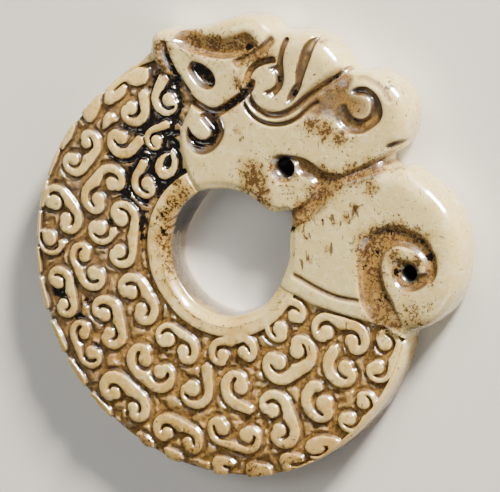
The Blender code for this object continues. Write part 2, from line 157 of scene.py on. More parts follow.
# Plain raised strokes that taper, where the pattern runs over the edge: two ends and half the width at each
shortStrokes = (
    (-29.9, 14.6, -31.4, 11.2, 0.7, 0.5), (-32.2, 9.4, -33.2, 6.2, 0.45, 0.8),
    (-33.8, 4.4, -34.3, 1.0, 0.6, 0.75), (-34.4, -1.3, -34.4, -4.6, 0.5, 0.8),
    (-34.1, -6.4, -33.4, -10.2, 0.6, 0.9), (-32.2, -13.4, -30.7, -17.0, 0.6, 1.0),
    (-29.4, -19.4, -27.5, -22.3, 0.7, 1.0), (-25.4, -24.9, -23.1, -27.2, 0.7, 0.9),
)
# Scrolls cut by the edge or by a neighbour, given by their outlines
cutScrolls = (
    ((-20.2, 22.8), (-19.6, 22.6), (-18.9, 22.8), (-17.8, 23.4), (-17.0, 24.0), (-16.4, 24.6),
     (-16.3, 25.5), (-16.7, 25.9), (-17.3, 25.5), (-18.1, 24.9), (-18.7, 24.4), (-19.0, 24.6),
     (-18.5, 25.2), (-17.6, 25.9), (-16.8, 26.4), (-16.2, 26.4), (-15.6, 26.0), (-14.3, 25.8),
     (-12.8, 26.3), (-12.2, 27.2), (-12.3, 28.6), (-14.3, 28.6), (-16.4, 28.4), (-18.6, 26.6),
     (-20.4, 24.8)),
    ((-24.1, 20.1), (-23.6, 19.7), (-22.9, 19.7), (-22.1, 20.5), (-21.5, 21.4), (-21.2, 22.6),
     (-21.3, 24.6), (-23.6, 23.0), (-25.3, 21.2)),
    ((-20.7, 19.3), (-20.6, 18.7), (-20.0, 19.0), (-19.1, 19.7), (-18.1, 20.1), (-18.0, 20.4),
     (-18.5, 20.6), (-18.9, 21.2), (-19.4, 21.4), (-20.1, 21.0), (-20.6, 20.3)),
    ((-29.4, 15.2), (-28.6, 15.0), (-27.8, 15.8), (-26.8, 16.9), (-26.2, 18.0), (-26.1, 19.0),
     (-26.9, 20.2), (-28.4, 18.6), (-29.6, 17.0)),
    ((-11.4, 12.3), (-11.5, 13.2), (-11.0, 14.2), (-10.3, 14.9), (-9.4, 15.3), (-8.9, 15.2), (-9.7, 14.6),
     (-10.1, 13.8), (-10.2, 13.0), (-9.8, 12.6), (-9.1, 12.8), (-8.5, 13.4), (-8.3, 14.3), (-8.5, 15.3),
     (-8.4, 15.9), (-7.9, 15.4), (-7.5, 14.2), (-7.6, 12.9), (-8.4, 11.8), (-9.7, 11.2), (-10.8, 11.5)),
    ((-17.8, -30.3), (-17.2, -29.9), (-16.2, -30.3), (-15.4, -30.9), (-14.7, -31.5), (-14.8, -32.4),
     (-16.6, -32.4)),
    ((-12.9, -32.4), (-12.2, -32.1), (-10.9, -32.5), (-9.8, -33.1), (-9.4, -33.9), (-10.9, -34.4),
     (-12.6, -34.0)),
    ((-4.2, -34.2), (-4.0, -33.5), (-3.3, -33.1), (-2.1, -33.0), (-0.8, -33.5), (-0.2, -34.0),
     (-0.6, -34.6), (-1.4, -34.4), (-2.3, -34.4), (-2.5, -34.8), (-1.6, -35.2), (-2.2, -36.2),
     (-4.2, -36.0)),
    ((1.7, -35.1), (1.9, -34.2), (3.0, -33.6), (4.3, -33.8), (5.4, -33.9), (6.2, -34.5), (6.3, -36.0),
     (2.0, -36.4)),
    ((7.9, -33.1), (8.2, -32.2), (9.2, -31.8), (10.5, -31.8), (11.8, -32.1), (12.2, -32.6), (12.0, -33.0),
     (11.0, -33.3), (9.9, -33.3), (9.5, -33.6), (9.7, -34.0), (10.9, -34.0), (12.3, -33.5), (13.1, -32.9),
     (14.7, -32.8), (14.8, -34.2), (11.4, -35.4), (8.6, -35.6)),
    ((12.6, -30.9), (13.0, -29.8), (14.2, -29.0), (15.8, -28.6), (17.5, -28.8), (18.5, -29.3),
     (18.5, -30.2), (17.7, -31.1), (16.1, -32.0), (14.9, -32.5), (13.6, -32.6), (13.3, -32.1),
     (14.7, -32.2), (15.9, -31.6), (16.7, -30.8), (16.6, -30.2), (15.8, -30.2), (15.9, -30.8),
     (15.2, -31.5), (13.9, -31.7), (13.0, -31.5)),
)
backRows = ((0.24, 5, 1.4), (0.70, 7, 1.55))    # share of the way out, scrolls in the row, size
backSweep = (128, 322)                           # degrees


def easeBetween(value, low, high):
    # cubic ease: 0 below low, 1 above high, 3t^2 - 2t^3 between
    t = np.clip((value - low) / (high - low), 0.0, 1.0)
    return t * t * (3.0 - 2.0 * t)


def smoothLine(points, closed=False, steps=6):
    # Catmull-Rom curve: each stretch is a cubic whose slope at a point runs parallel to its neighbours
    p = np.asarray(points, dtype=float)
    if closed:
        a, b, c, d = np.roll(p, 1, 0), p, np.roll(p, -1, 0), np.roll(p, -2, 0)
    else:
        a = np.vstack([p[:1], p[:-2]])
        b = p[:-1]
        c = p[1:]
        d = np.vstack([p[2:], p[-1:]])
    t = (np.arange(steps) / steps)[None, :, None]
    a, b, c, d = a[:, None], b[:, None], c[:, None], d[:, None]
    curve = 2 * b + (c - a) * t + (2 * a - 5 * b + 4 * c - d) * t ** 2 + (3 * b - a - 3 * c + d) * t ** 3
    line = (0.5 * curve).reshape(-1, p.shape[1])
    return line if closed else np.vstack([line, p[-1:]])


def nearLine(x, y, line, closed=False):
    # distance to a polyline, which side of it a point lies on (+1 left), and how far along it, in mm
    start = line if closed else line[:-1]
    end = np.roll(line, -1, 0) if closed else line[1:]
    run = end - start
    length = np.maximum(np.hypot(run[:, 0], run[:, 1]), 1e-9)
    travelled = np.concatenate([[0.0], np.cumsum(length)[:-1]])
    dx = x[:, None] - start[None, :, 0]
    dy = y[:, None] - start[None, :, 1]
    t = np.clip((dx * run[:, 0] + dy * run[:, 1]) / length ** 2, 0.0, 1.0)
    offX = dx - t * run[:, 0]
    offY = dy - t * run[:, 1]
    away = offX ** 2 + offY ** 2
    nearest = np.argmin(away, axis=1)
    pick = (np.arange(len(x)), nearest)
    cross = run[nearest, 0] * dy[pick] - run[nearest, 1] * dx[pick]
    along = travelled[nearest] + t[pick] * length[nearest]
    return np.sqrt(away[pick]), np.where(cross >= 0, 1.0, -1.0), along


def insideOutline(x, y, line):
    # even-odd rule: a point is inside where a ray to the right crosses the outline an odd number of times
    x0, y0 = line[:, 0], line[:, 1]
    x1, y1 = np.roll(x0, -1), np.roll(y0, -1)
    spans = (y0[None, :] > y[:, None]) != (y1[None, :] > y[:, None])
    rise = np.where(np.abs(y1 - y0) < 1e-12, 1e-12, y1 - y0)
    crossing = (x1 - x0) * (y[:, None] - y0) / rise + x0
    return (np.sum(spans & (x[:, None] < crossing), axis=1) % 2) == 1


def outlineDepth(x, y, line):
    # signed distance to a closed outline, positive inside
    away = nearLine(x, y, line, closed=True)[0]
    return np.where(insideOutline(x, y, line), away, -away)


def nearby(x, y, line, margin):
    # indices of the points in the box of a line, widened by a margin
    low = line.min(0) - margin
    high = line.max(0) + margin
    return np.nonzero((x > low[0]) & (x < high[0]) & (y > low[1]) & (y < high[1]))[0]


def waves(x, y, scale, seed, octaves=3):
    # smooth unevenness between -1 and 1: sums of cosines whose directions come from a seeded generator
    rng = np.random.default_rng(seed)
    total = np.zeros_like(x)
    weight = 0.0
    for octave in range(octaves):
        size = scale / 1.9 ** octave
        part = np.zeros_like(x)
        for turn in range(5):
            angle = rng.uniform(0, 2 * np.pi)
            phase = rng.uniform(0, 2 * np.pi)
            bend = rng.uniform(0, 2 * np.pi)
            across = x * np.cos(angle) + y * np.sin(angle)
            along = y * np.cos(angle) - x * np.sin(angle)
            sway = 1.3 * np.sin(2 * np.pi * along / size / 1.7 + bend)
            part += np.cos(2 * np.pi * across / size + phase + sway)
        total += part / 5 / 1.6 ** octave
        weight += 1 / 1.6 ** octave
    return total / weight


curl = {
    "outerStep": 15.0,      # degrees between the points of the outer edge
    "innerStep": 20.0,      # the same on the round end and in the slit
    "bend": 0.8,            # below 1 the stroke keeps its width longer before it winds in
    "ballShare": 0.93,      # size of the round end in its slit
    "slitMouth": 1.22,      # width of the slit where it opens
    "slitNarrowing": 0.4,   # how much narrower it gets towards its end
    "pairFade": 195.0,      # degrees over which the stroke winds in, on scrolls with two ends
    "openFade": 205.0,      # the same with one end
}


def curledEnd(reach, ball, slit, wrap, fade):
    # Outline of a curled end in its own frame, back of the stroke up. Its outer edge has the radius ball +
    # (reach - ball) * cos(90 deg * angle / fade)^0.8, so it winds in until it meets the round end. The round
    # end is followed back into the slit, whose outer side leads to the inner edge of the stroke. The slit
    # opens towards its mouth and the round end is drawn a little small, so that both still read once cut.
    out = np.arange(0.0, fade, curl["outerStep"])
    outer = ball + (reach - ball) * np.cos(np.pi / 2 * out / fade) ** curl["bend"]
    around = np.arange(fade, 355 + wrap, curl["innerStep"])
    ballEdge = np.full(around.shape, curl["ballShare"] * ball)
    back = np.arange(wrap - 6, -1, -curl["innerStep"])
    channel = ball + slit * (curl["slitMouth"] - curl["slitNarrowing"] * easeBetween(back, 0, wrap))
    angles = np.radians(np.concatenate([out, around, [wrap + 6.0], back]))
    radii = np.concatenate([outer, ballEdge, [ball + 0.3 * slit], channel])
    return np.stack([radii * np.sin(angles), radii * np.cos(angles)], axis=1)


def pairOutline(row):
    # two curled ends back to back, joined by a stroke that comes to a soft point between them
    ax, ay, bx, by, side, reachA, reachB, ballA, ballB, slit, wrapA, wrapB, point = row
    span = np.hypot(bx - ax, by - ay)
    right = curledEnd(reachB, ballB, slit, wrapB, curl["pairFade"]) + (span, 0)
    left = curledEnd(reachA, ballA, slit, wrapA, curl["pairFade"])[::-1] * (-1, 1)
    low = (ballA + ballB) / 2 + slit
    dip = low - 0.25 * point
    bridge = [(0.72 * span, dip), (0.5 * span, low - point), (0.28 * span, dip)]
    shape = np.vstack([right, bridge, left, [[0.5 * span, (reachA + reachB) / 2 + 0.05]]])
    along = np.array([bx - ax, by - ay]) / span
    across = np.array([-along[1], along[0]]) * side
    return np.array([ax, ay]) + shape[:, :1] * along + shape[:, 1:] * across


def openOutline(row):
    # One curled end whose stroke runs on to an open end. Its middle line is the curve (1-t)^2 A +
    # 2t(1-t) B + t^2 C, with A over the round end, B straight on from there and C the open end.
    ax, ay, bx, by, side, reach, ball, slit, wrap, width = row
    stroke = reach - ball - slit
    middle = ball + slit + stroke / 2
    gap = np.hypot(bx - ax, by - ay)
    lift = min(middle, 0.93 * gap)
    run = np.sqrt(gap * gap - lift * lift)
    t = np.array([0.35, 0.7, 1.0])[:, None]
    first, second, third = np.array([0.0, middle]), np.array([-0.5 * run, middle]), np.array([-run, lift])
    line = (1 - t) ** 2 * first + 2 * t * (1 - t) * second + t * t * third
    heading = 2 * (1 - t) * (second - first) + 2 * t * (third - second)
    heading = heading / np.hypot(heading[:, 0], heading[:, 1])[:, None]
    normal = np.stack([heading[:, 1], -heading[:, 0]], 1)
    half = (stroke + (width - stroke) * t) / 2
    tip = third + heading[-1] * width * 0.35
    curled = curledEnd(reach, ball, slit, wrap, curl["openFade"])
    shape = np.vstack([curled, line - normal * half, [tip], (line + normal * half)[::-1]])
    turn = np.arctan2(by - ay, bx - ax) - np.arctan2(lift, side * run)
    along = np.array([np.cos(turn), np.sin(turn)])
    across = np.array([-along[1], along[0]])
    return np.array([ax, ay]) - side * shape[:, :1] * along + shape[:, 1:] * across


def strokeOutline(row):
    # two half circles of different size joined by straight sides
    ax, ay, bx, by, widthA, widthB = row
    angles = np.radians(np.arange(-90, 91, 22.5))
    length = np.hypot(bx - ax, by - ay)
    cap = np.stack([np.cos(angles), np.sin(angles)], 1)
    shape = np.vstack([cap * widthB + (length, 0), -cap * widthA])
    along = np.array([bx - ax, by - ay]) / length
    across = np.array([-along[1], along[0]])
    return np.array([ax, ay]) + shape[:, :1] * along + shape[:, 1:] * across


frontScrolls = [pairOutline(row) for row in pairScrolls]
frontScrolls += [openOutline(row) for row in openScrolls]
frontScrolls += [strokeOutline(row) for row in shortStrokes]
frontScrolls += [np.array(outline) for outline in cutScrolls]


def edgeDistance():
    # Outer radius for every column: where it meets the circle of the body, or the smooth curve through the
    # knots round head and tail
    angles = np.linspace(0, 2 * np.pi, stone["columns"], endpoint=False)
    cx, cy = stone["ringOffset"]
    toward = cx * np.cos(angles) + cy * np.sin(angles)
    circle = toward + np.sqrt(toward ** 2 - cx * cx - cy * cy + stone["ringRadius"] ** 2)
    line = smoothLine(edgeKnots, steps=12)
    bearing = np.unwrap(np.arctan2(line[:, 1], line[:, 0]))
    radius = np.hypot(line[:, 0], line[:, 1])
    order = np.argsort(bearing)
    bearing, radius = bearing[order], radius[order]
    turned = bearing[0] + np.mod(angles - bearing[0], 2 * np.pi)
    within = turned <= bearing[-1]
    return angles, np.where(within, np.interp(turned, bearing, radius), circle)


def openingDistance(knots, angles):
    # opening radius for every column: a smooth closed curve through the knots
    table = np.array(knots, dtype=float)
    table[:, 0] = np.radians(table[:, 0])
    points = np.stack([table[:, 1] * np.cos(table[:, 0]), table[:, 1] * np.sin(table[:, 0])], 1)
    line = smoothLine(points, closed=True, steps=6)
    bearing = np.mod(np.arctan2(line[:, 1], line[:, 0]), 2 * np.pi)
    order = np.argsort(bearing)
    return np.interp(angles, bearing[order], np.hypot(line[order, 0], line[order, 1]), period=2 * np.pi)


def faceLevel(x, y, back=False):
    # Height of the polished face: flat, then edge + (half thickness - edge) * (1 - fall^bend)^(1/bend), with
    # fall running from 0 at the start of the shoulder to 1 at the edge
    cx, cy = stone["ringOffset"]
    out = np.hypot(x - cx, y - cy) / stone["ringRadius"]
    leftness = easeBetween(-(x - cx) / np.maximum(np.hypot(x - cx, y - cy), 1e-6), 0.1, 0.8)
    edge = stone["edgeHeight"]
    if not back:
        edge = edge + (stone["edgeHeightLeft"] - edge) * leftness
    fall = np.clip((out - stone["shoulderFrom"]) / (1 - stone["shoulderFrom"]), 0.0, 1.0)
    bend = 2.0 if back else 2.0 + 1.2 * leftness
    return edge + (stone["halfThickness"] - edge) * (1 - fall ** bend) ** (1 / bend)


def scrollField(x, y, outlines):
    # For every point: signed distance to the nearest scroll, positive on it, capped at 3 mm outside. Points
    # are shifted by small waves first, so that the outlines wander like hand work.
    wander = stone["wander"]
    x, y = x + wander * waves(x, y, 2.4, 61, 2), y + wander * waves(x, y, 2.4, 62, 2)
    field = np.full(x.shape, -3.0)
    for outline in outlines:
        near = nearby(x, y, outline, 3.0)
        if len(near):
            field[near] = np.maximum(field[near], outlineDepth(x[near], y[near], outline))
    return field


# Edges on head and tail. A wall drops on the left of the way along each path, the floor runs on and a bank
# rises on its other side: path, depth, width of the wall, width of the whole groove, width of the bank
carvedEdges = {
    "earHollow": (((-7.9, 33.5), (-6.6, 32.8), (-4.8, 31.9), (-3.0, 31.4), (-0.4, 30.9), (2.0, 30.8),
                   (4.2, 31.2), (6.0, 31.9), (7.4, 32.6), (8.6, 33.2)), 1.25, 0.7, 4.2, 3.4),
    "underEar": (((10.4, 35.4), (9.3, 34.2), (7.7, 32.9), (6.0, 32.0), (4.4, 31.3), (2.9, 30.6)),
                 0.6, 0.4, 2.1, 1.4),
    "underLeaf": (((6.1, 28.4), (5.6, 27.0), (4.5, 25.9), (2.8, 24.7), (0.6, 23.4), (-0.6, 23.1),
                   (-1.8, 23.5), (-3.2, 24.3), (-4.6, 25.4)), 1.2, 0.35, 1.7, 0.6),
    "aroundEye": (((22.9, 31.4), (22.3, 30.1), (21.1, 29.1), (18.9, 27.7), (16.9, 26.5), (15.2, 25.3),
                   (13.5, 24.0), (11.6, 23.1), (9.6, 22.9), (8.0, 23.6), (7.0, 24.6), (6.5, 26.0),
                   (6.4, 27.4), (6.9, 28.7), (7.9, 29.7), (9.4, 30.3), (11.4, 30.6)), 1.15, 0.3, 1.25, 0.35),
    "curlRing": (((18.4, 25.4), (17.0, 24.6), (15.6, 23.6), (14.3, 22.5), (12.7, 21.7), (10.8, 21.3),
                  (9.1, 21.4), (7.4, 22.0), (6.0, 23.3), (5.2, 25.1), (5.0, 26.8)), 0.9, 0.35, 0.9, 0.3),
    "leafSide": (((-3.9, 25.2), (-5.0, 26.5), (-6.2, 28.2), (-7.3, 30.2), (-8.1, 32.0), (-8.2, 33.6)),
                 0.8, 0.3, 1.9, 1.4),
    "overBulb": (((23.1, 30.9), (22.9, 31.9), (22.2, 33.0), (21.2, 33.9), (19.9, 34.5), (18.2, 34.8)),
                 0.5, 0.3, 1.1, 0.7),
    "noseLine": (((31.6, 24.9), (31.0, 26.2), (29.7, 27.8), (28.1, 28.8), (26.3, 29.3), (24.6, 29.0)),
                 0.16, 0.3, 1.3, 0.9),
    "lipCorner": (((34.2, 19.2), (32.6, 19.4), (31.0, 19.0), (29.4, 18.3)), 0.7, 0.25, 1.0, 0.5),
    "upperCross": (((24.3, -6.0), (20.0, -5.5), (16.4, -4.2), (13.3, -2.7), (12.2, -2.2)),
                   0.34, 0.45, 1.3, 0.7),
}
# Sunk fields: outline, depth, width of the wall
sunkFields = {
    "teardrop": (((-4.6, 29.6), (-3.9, 30.3), (-2.9, 30.3), (-1.5, 29.8), (-0.3, 28.9), (0.3, 27.5),
                  (-0.1, 26.3), (-1.3, 25.8), (-2.8, 26.3), (-4.1, 27.6), (-4.7, 28.8)), 1.35, 0.75),
    "nostril": (((24.2, 26.5), (24.6, 27.1), (25.6, 27.5), (27.0, 27.5), (28.3, 26.8), (29.2, 25.6),
                 (29.6, 24.2), (29.5, 23.0), (28.7, 21.8), (27.4, 20.9), (25.8, 20.1), (24.0, 20.0),
                 (22.5, 20.6), (21.5, 21.6), (21.3, 22.8), (21.9, 24.0), (22.7, 24.6), (23.2, 24.2),
                 (23.5, 23.5), (24.0, 22.9), (24.8, 22.5), (25.9, 22.4), (26.9, 22.9), (27.5, 23.8),
                 (27.6, 24.8), (27.1, 25.7), (26.2, 26.2), (25.2, 26.2)), 0.95, 0.4),
    "curlSlit": (((9.9, 29.6), (10.7, 29.1), (11.0, 28.3), (10.9, 27.4), (10.3, 26.7), (9.4, 26.3),
                  (8.8, 26.0), (9.0, 25.6), (9.7, 25.6), (10.0, 25.1), (10.6, 25.3), (11.5, 26.1),
                  (12.2, 27.1), (12.5, 28.4), (12.5, 29.8), (12.5, 31.2), (12.9, 32.8), (13.5, 34.4),
                  (12.7, 34.6), (12.0, 32.9), (11.5, 31.4), (11.2, 30.4), (10.4, 30.0)), 0.8, 0.35),
    "longSlit": (((17.9, 34.9), (16.9, 34.4), (16.0, 33.3), (15.4, 31.8), (14.9, 30.2), (14.5, 28.6),
                  (14.4, 27.6), (13.8, 26.9), (13.1, 25.8), (12.7, 24.7), (13.0, 24.3), (14.0, 24.9),
                  (14.9, 26.0), (15.5, 27.2), (16.1, 28.8), (16.8, 30.4), (17.5, 32.0), (18.1, 33.6),
                  (18.5, 34.6)), 0.85, 0.4),
    "comma": (((-5.1, 19.8), (-5.4, 18.4), (-4.7, 17.0), (-3.1, 16.5), (-1.3, 16.8), (-0.1, 18.0),
               (0.4, 19.5), (0.1, 20.9), (-0.8, 21.9), (-2.2, 22.4), (-2.8, 21.8), (-2.7, 21.1),
               (-1.8, 20.1), (-1.1, 19.1), (-1.7, 18.2), (-3.0, 17.9), (-4.3, 18.7)), 1.2, 0.45),
    "commaRim": (((-5.6, 19.6), (-5.7, 17.4), (-4.8, 15.9), (-3.6, 15.3), (-2.2, 15.3), (-0.6, 16.0),
                  (0.6, 17.2), (1.5, 18.8), (1.5, 20.4), (0.9, 21.9), (-0.2, 22.7), (-1.6, 22.9),
                  (-2.4, 22.2), (-2.2, 21.2), (-1.2, 19.6), (-1.6, 18.0), (-3.2, 17.4), (-4.6, 18.2)),
                 0.6, 0.9),
    "mouth": (((9.2, 14.9), (10.6, 16.0), (12.3, 16.2), (13.8, 16.1), (15.7, 15.7), (17.2, 14.9),
               (18.6, 14.0), (20.3, 13.6), (21.9, 13.6), (23.4, 14.2), (26.3, 15.5), (28.6, 16.6),
               (30.6, 17.5), (34.0, 17.6), (34.0, 14.4), (30.5, 14.6), (28.5, 13.7), (26.4, 12.6),
               (23.9, 12.0), (21.4, 11.2), (19.8, 9.8), (18.7, 8.3), (17.6, 7.1), (15.9, 6.3), (14.2, 5.4),
               (13.0, 4.3), (11.4, 3.4), (8.6, 5.2), (10.4, 6.7), (12.6, 7.5), (14.4, 8.4), (15.8, 9.5),
               (16.6, 10.7), (16.8, 11.8), (15.9, 12.5), (14.6, 12.9), (13.9, 13.6), (13.4, 14.8),
               (12.0, 15.3), (10.4, 15.2)), 0.85, 0.6),
    "volute": (((24.0, -7.4), (23.6, -4.0), (23.6, -0.6), (24.1, 1.8), (25.4, 3.8), (27.5, 5.2),
                (30.0, 6.0), (33.0, 5.6), (35.5, 4.6), (37.3, 2.7), (38.1, 0.4), (37.9, -1.8),
                (36.9, -3.2), (35.8, -3.2), (35.4, -2.2), (35.6, -0.8), (35.1, 0.6), (33.6, 1.8),
                (31.6, 2.3), (30.0, 1.9), (28.8, 0.7), (28.3, -1.0), (28.5, -3.0), (29.2, -5.0),
                (30.4, -7.2), (31.4, -9.4), (30.8, -11.2), (27.6, -10.9), (25.6, -9.6)), 0.8, 1.0),
    "coil": (((31.2, 0.6), (30.1, -0.4), (29.8, -2.4), (30.8, -4.1), (32.7, -4.7), (34.9, -4.1),
              (36.6, -2.6), (36.3, -0.9), (35.2, -1.5), (34.2, -1.2), (33.0, -0.1), (31.9, 0.5)), 0.6, 0.55),
}
# Soft hollow between brow and nostril: places and radii
saddle = ((16.6, 24.2, 1.5), (18.6, 25.0, 1.9), (20.6, 26.4, 2.0), (21.4, 24.2, 1.7), (22.6, 28.6, 1.6))
# Drilled holes: middle and radius of the hole, middle and radius of its flare, depth of the flare
drilledHoles = (
    (11.75, 14.1, 1.6, 11.4, 13.9, 2.4, 1.5),
    (32.75, -1.75, 1.3, 32.5, -1.8, 2.4, 1.3),
)
# Edge of the tail along the mouth
tailSlope = ((33.0, 15.2), (30.5, 14.6), (28.5, 13.7), (26.4, 12.6), (23.9, 12.0), (21.4, 11.2), (19.8, 9.8),
             (18.7, 8.3), (17.6, 7.1), (15.9, 6.3), (14.2, 5.4), (13.0, 4.3), (11.4, 3.4))


def sweptEdge(x, y, depth, footDirtAndShade, row):
    # Left of the path the depth is cut * ease(distance / wall) * (1 - ease((distance - width) / bank + 1)).
    # It fades in and out over a stretch at the ends of the path. The foot of the wall collects dirt and
    # painted shade.
    path, cut, wall, width, bank = row
    line = smoothLine(path, steps=5)
    near = nearby(x, y, line, width + 0.4)
    away, side, along = nearLine(x[near], y[near], line)
    total = np.sum(np.hypot(*np.diff(line, axis=0).T))
    fade = 0.25 + 0.5 * width
    ends = easeBetween(along, -0.03, fade) * easeBetween(total - along, -0.03, fade)
    ends = np.where((along <= 0) | (along >= total), 0.0, ends)
    signed = away * side
    profile = easeBetween(signed, -0.1, wall) * (1 - easeBetween(signed, width - bank, width)) * ends
    depth[near] = np.maximum(depth[near], cut * profile)
    dirtAndShade = np.exp(-((signed - wall * 0.9) / 0.34) ** 2) * ends * easeBetween(signed, -0.1, 0.1)
    footDirtAndShade[near] = np.maximum(footDirtAndShade[near], dirtAndShade * min(1.0, cut / 0.6))


def headCarving(x, y):
    # How deep head and tail are cut below their polished skin in mm, and where dirt and painted shade
    # gather. Each sunk field falls by cut * ease(distance inside / wall), and the deepest of all cuts
    # counts.
    depth = np.zeros_like(x)
    footDirtAndShade = np.zeros_like(x)
    for name, (outline, cut, wall) in sunkFields.items():
        line = smoothLine(outline, closed=True, steps=4)
        near = nearby(x, y, line, 0.5)
        inside = outlineDepth(x[near], y[near], line)
        fall = cut * easeBetween(inside, -0.12, wall)
        if name == "volute":    # shallower towards the body
            fall = fall * (1 - 0.6 * easeBetween(-y[near], 4.0, 9.5))
        if name == "mouth":     # the tail falls gently into it
            fall = fall * easeBetween(nearLine(x[near], y[near], np.array(tailSlope))[0], 0.0, 2.4)
        depth[near] = np.maximum(depth[near], fall)
        if wall < 1:
            # dark band inside the foot of the wall: dirt and painted shade
            dirtAndShade = np.exp(-((inside - 0.6 * wall) / 0.4) ** 2) * (inside > -0.1) * 0.9
            footDirtAndShade[near] = np.maximum(footDirtAndShade[near], dirtAndShade)
    for row in carvedEdges.values():
        sweptEdge(x, y, depth, footDirtAndShade, row)
    hollow = np.zeros_like(x)
    for cx, cy, radius in saddle:
        hollow += np.exp(-((x - cx) ** 2 + (y - cy) ** 2) / radius ** 2)
    depth = np.maximum(depth, 0.55 * (1 - np.exp(-1.3 * hollow)))
    # the round end inside the nostril lies a little lower
    depth += 0.22 * np.exp(-(((x - 25.2) ** 2 + (y - 24.4) ** 2) / 6.0) ** 2)
    for fx, fy, flare, deep in [row[3:] for row in drilledHoles]:
        away = np.hypot(x - fx, y - fy)
        near = np.nonzero(away < flare + 0.3)[0]
        bowl = deep * np.clip(1 - away[near] / flare, 0, 1) ** 0.75
        depth[near] = np.maximum(depth[near], bowl)
    return depth, footDirtAndShade


def roundedFall(away, width, fall, power=2.0):
    # how far a rounded edge falls: fall * (1 - sqrt(1 - (1 - distance / width)^power))
    closeness = 1 - np.clip(away / width, 0, 1)
    return fall * (1 - np.sqrt(np.maximum(1 - closeness ** power, 0)))


def carvedFront(x, y, edgeAway, openAway, stainsAndShade=None):
    # Height of the front over the middle plane. On the body it is ground + (level - ground) *
    # ease(distance to the outline / wall), on head and tail the polished skin less its carving. Where the
    # last argument is given, it gets what the surface colours need: how deep a point lies, dirt and painted
    # shade at the feet of the walls, share of head and tail, and the raised islands.
    level = faceLevel(x, y)
    radius = np.hypot(x, y)
    field = scrollField(x, y, frontScrolls)
    rimEdge = stone["rimRadius"] + 0.12 * waves(x, y, 9.0, 5, 2)
    rim = rimEdge - radius
    cx, cy = stone["ringOffset"]
    bearing = np.degrees(np.arctan2(y - cy, x - cx))
    band = stone["edgeBorder"] * easeBetween(bearing, -72, -50) * easeBetween(-bearing, 8, 12)
    band = band - 0.3 - (stone["ringRadius"] - np.hypot(x - cx, y - cy))
    raised = np.maximum(np.maximum(field, rim), band)
    wall = stone["wallWidth"]
    standing = easeBetween(raised, -wall, wall * 0.2)
    outside = np.maximum(-raised, 0.0)
    ridge = easeBetween(outside, 0.72, 1.0) * easeBetween(waves(x, y, 3.4, 11, 2), -0.25, 0.25)
    cut = stone["relief"] * (1 + 0.10 * waves(x, y, 5.0, 3, 2)) + 0.05 * waves(x, y, 1.1, 7, 2)
    ground = level - cut + cut * stone["islandHeight"] * ridge
    fieldHeight = ground + (level - ground) * standing
    plain = outlineDepth(x, y, np.array(plainPatch))
    cutDepth, footDirtAndShade = headCarving(x, y)
    head = stone["halfThickness"] + stone["headProud"] - cutDepth
    # the skin dips where it borders the scrolls, more so along the head than along the tail
    border = np.clip(1 - plain / 1.2, 0, 1) ** 2
    onHead = easeBetween(y - 0.55 * x, 2.0, 6.0)
    head = head - (0.45 * onHead + 0.05) * border
    mix = easeBetween(plain, *stone["headBlend"])
    height = fieldHeight + (head - fieldHeight) * mix
    height = height + 0.02 * waves(x, y, 1.9, 41, 2) + 0.03 * waves(x, y, 6.0, 43, 1)
    # the edge of head and tail is rounded over; the body falls by itself
    fallen = roundedFall(edgeAway, *stone["headRounding"], 2.6)
    height = height - fallen * easeBetween(plain, -1.0, 0.6)
    if stainsAndShade is not None:
        footPlace, footWidth = stone["wallFoot"]
        # dark band at the feet of the walls: dirt and painted shade
        wallFoot = np.exp(-((outside - footPlace) / footWidth) ** 2) * (raised < 0)
        bodySunk = np.clip((level - fieldHeight) / 0.6, 0, 1.2)
        stainsAndShade["sunk"] = (1 - mix) * bodySunk + mix * np.clip(cutDepth / 0.7, 0, 1.2)
        stainsAndShade["footDirtAndShade"] = (1 - mix) * wallFoot + mix * footDirtAndShade
        stainsAndShade["skin"] = mix
        stainsAndShade["fill"] = ridge * (1 - standing) * (1 - mix)
    # the edge of the opening is rounded, with a worn slope behind it
    height = height - roundedFall(openAway, *stone["lipRounding"])
    lowerLeft = easeBetween(np.cos(np.arctan2(y, x) - np.radians(228)), 0.2, 0.8)
    width, fall = [base + more * lowerLeft for base, more in zip(stone["lipSlant"], stone["lipSlantLow"])]
    slant = np.clip(openAway / width, 0.2, 1)
    return height - fall * (1 - easeBetween(slant, 0.2, 1.05))


def backOutlines(angles, edge):
    # scrolls with one curled end, spread evenly along rows that follow the ring
    shapes = []
    for share, count, size in backRows:
        for i in range(count):
            bearing = np.radians(backSweep[0] + (backSweep[1] - backSweep[0]) * (i + 0.5) / count)
            outer = np.interp(bearing, angles, edge)
            radius = stone["rimRadius"] + (outer - stone["rimRadius"]) * share
            ax, ay = radius * np.cos(bearing), radius * np.sin(bearing)
            end = bearing + np.radians(150)
            bx, by = ax + 3.0 * size * np.cos(end), ay + 3.0 * size * np.sin(end)
            reach, ball, slit, width = 3.2 * size, 1.15 * size, 0.6 * size, 1.5 * size
            shapes.append(openOutline((ax, ay, bx, by, 1, reach, ball, slit, 135, width)))
    return shapes


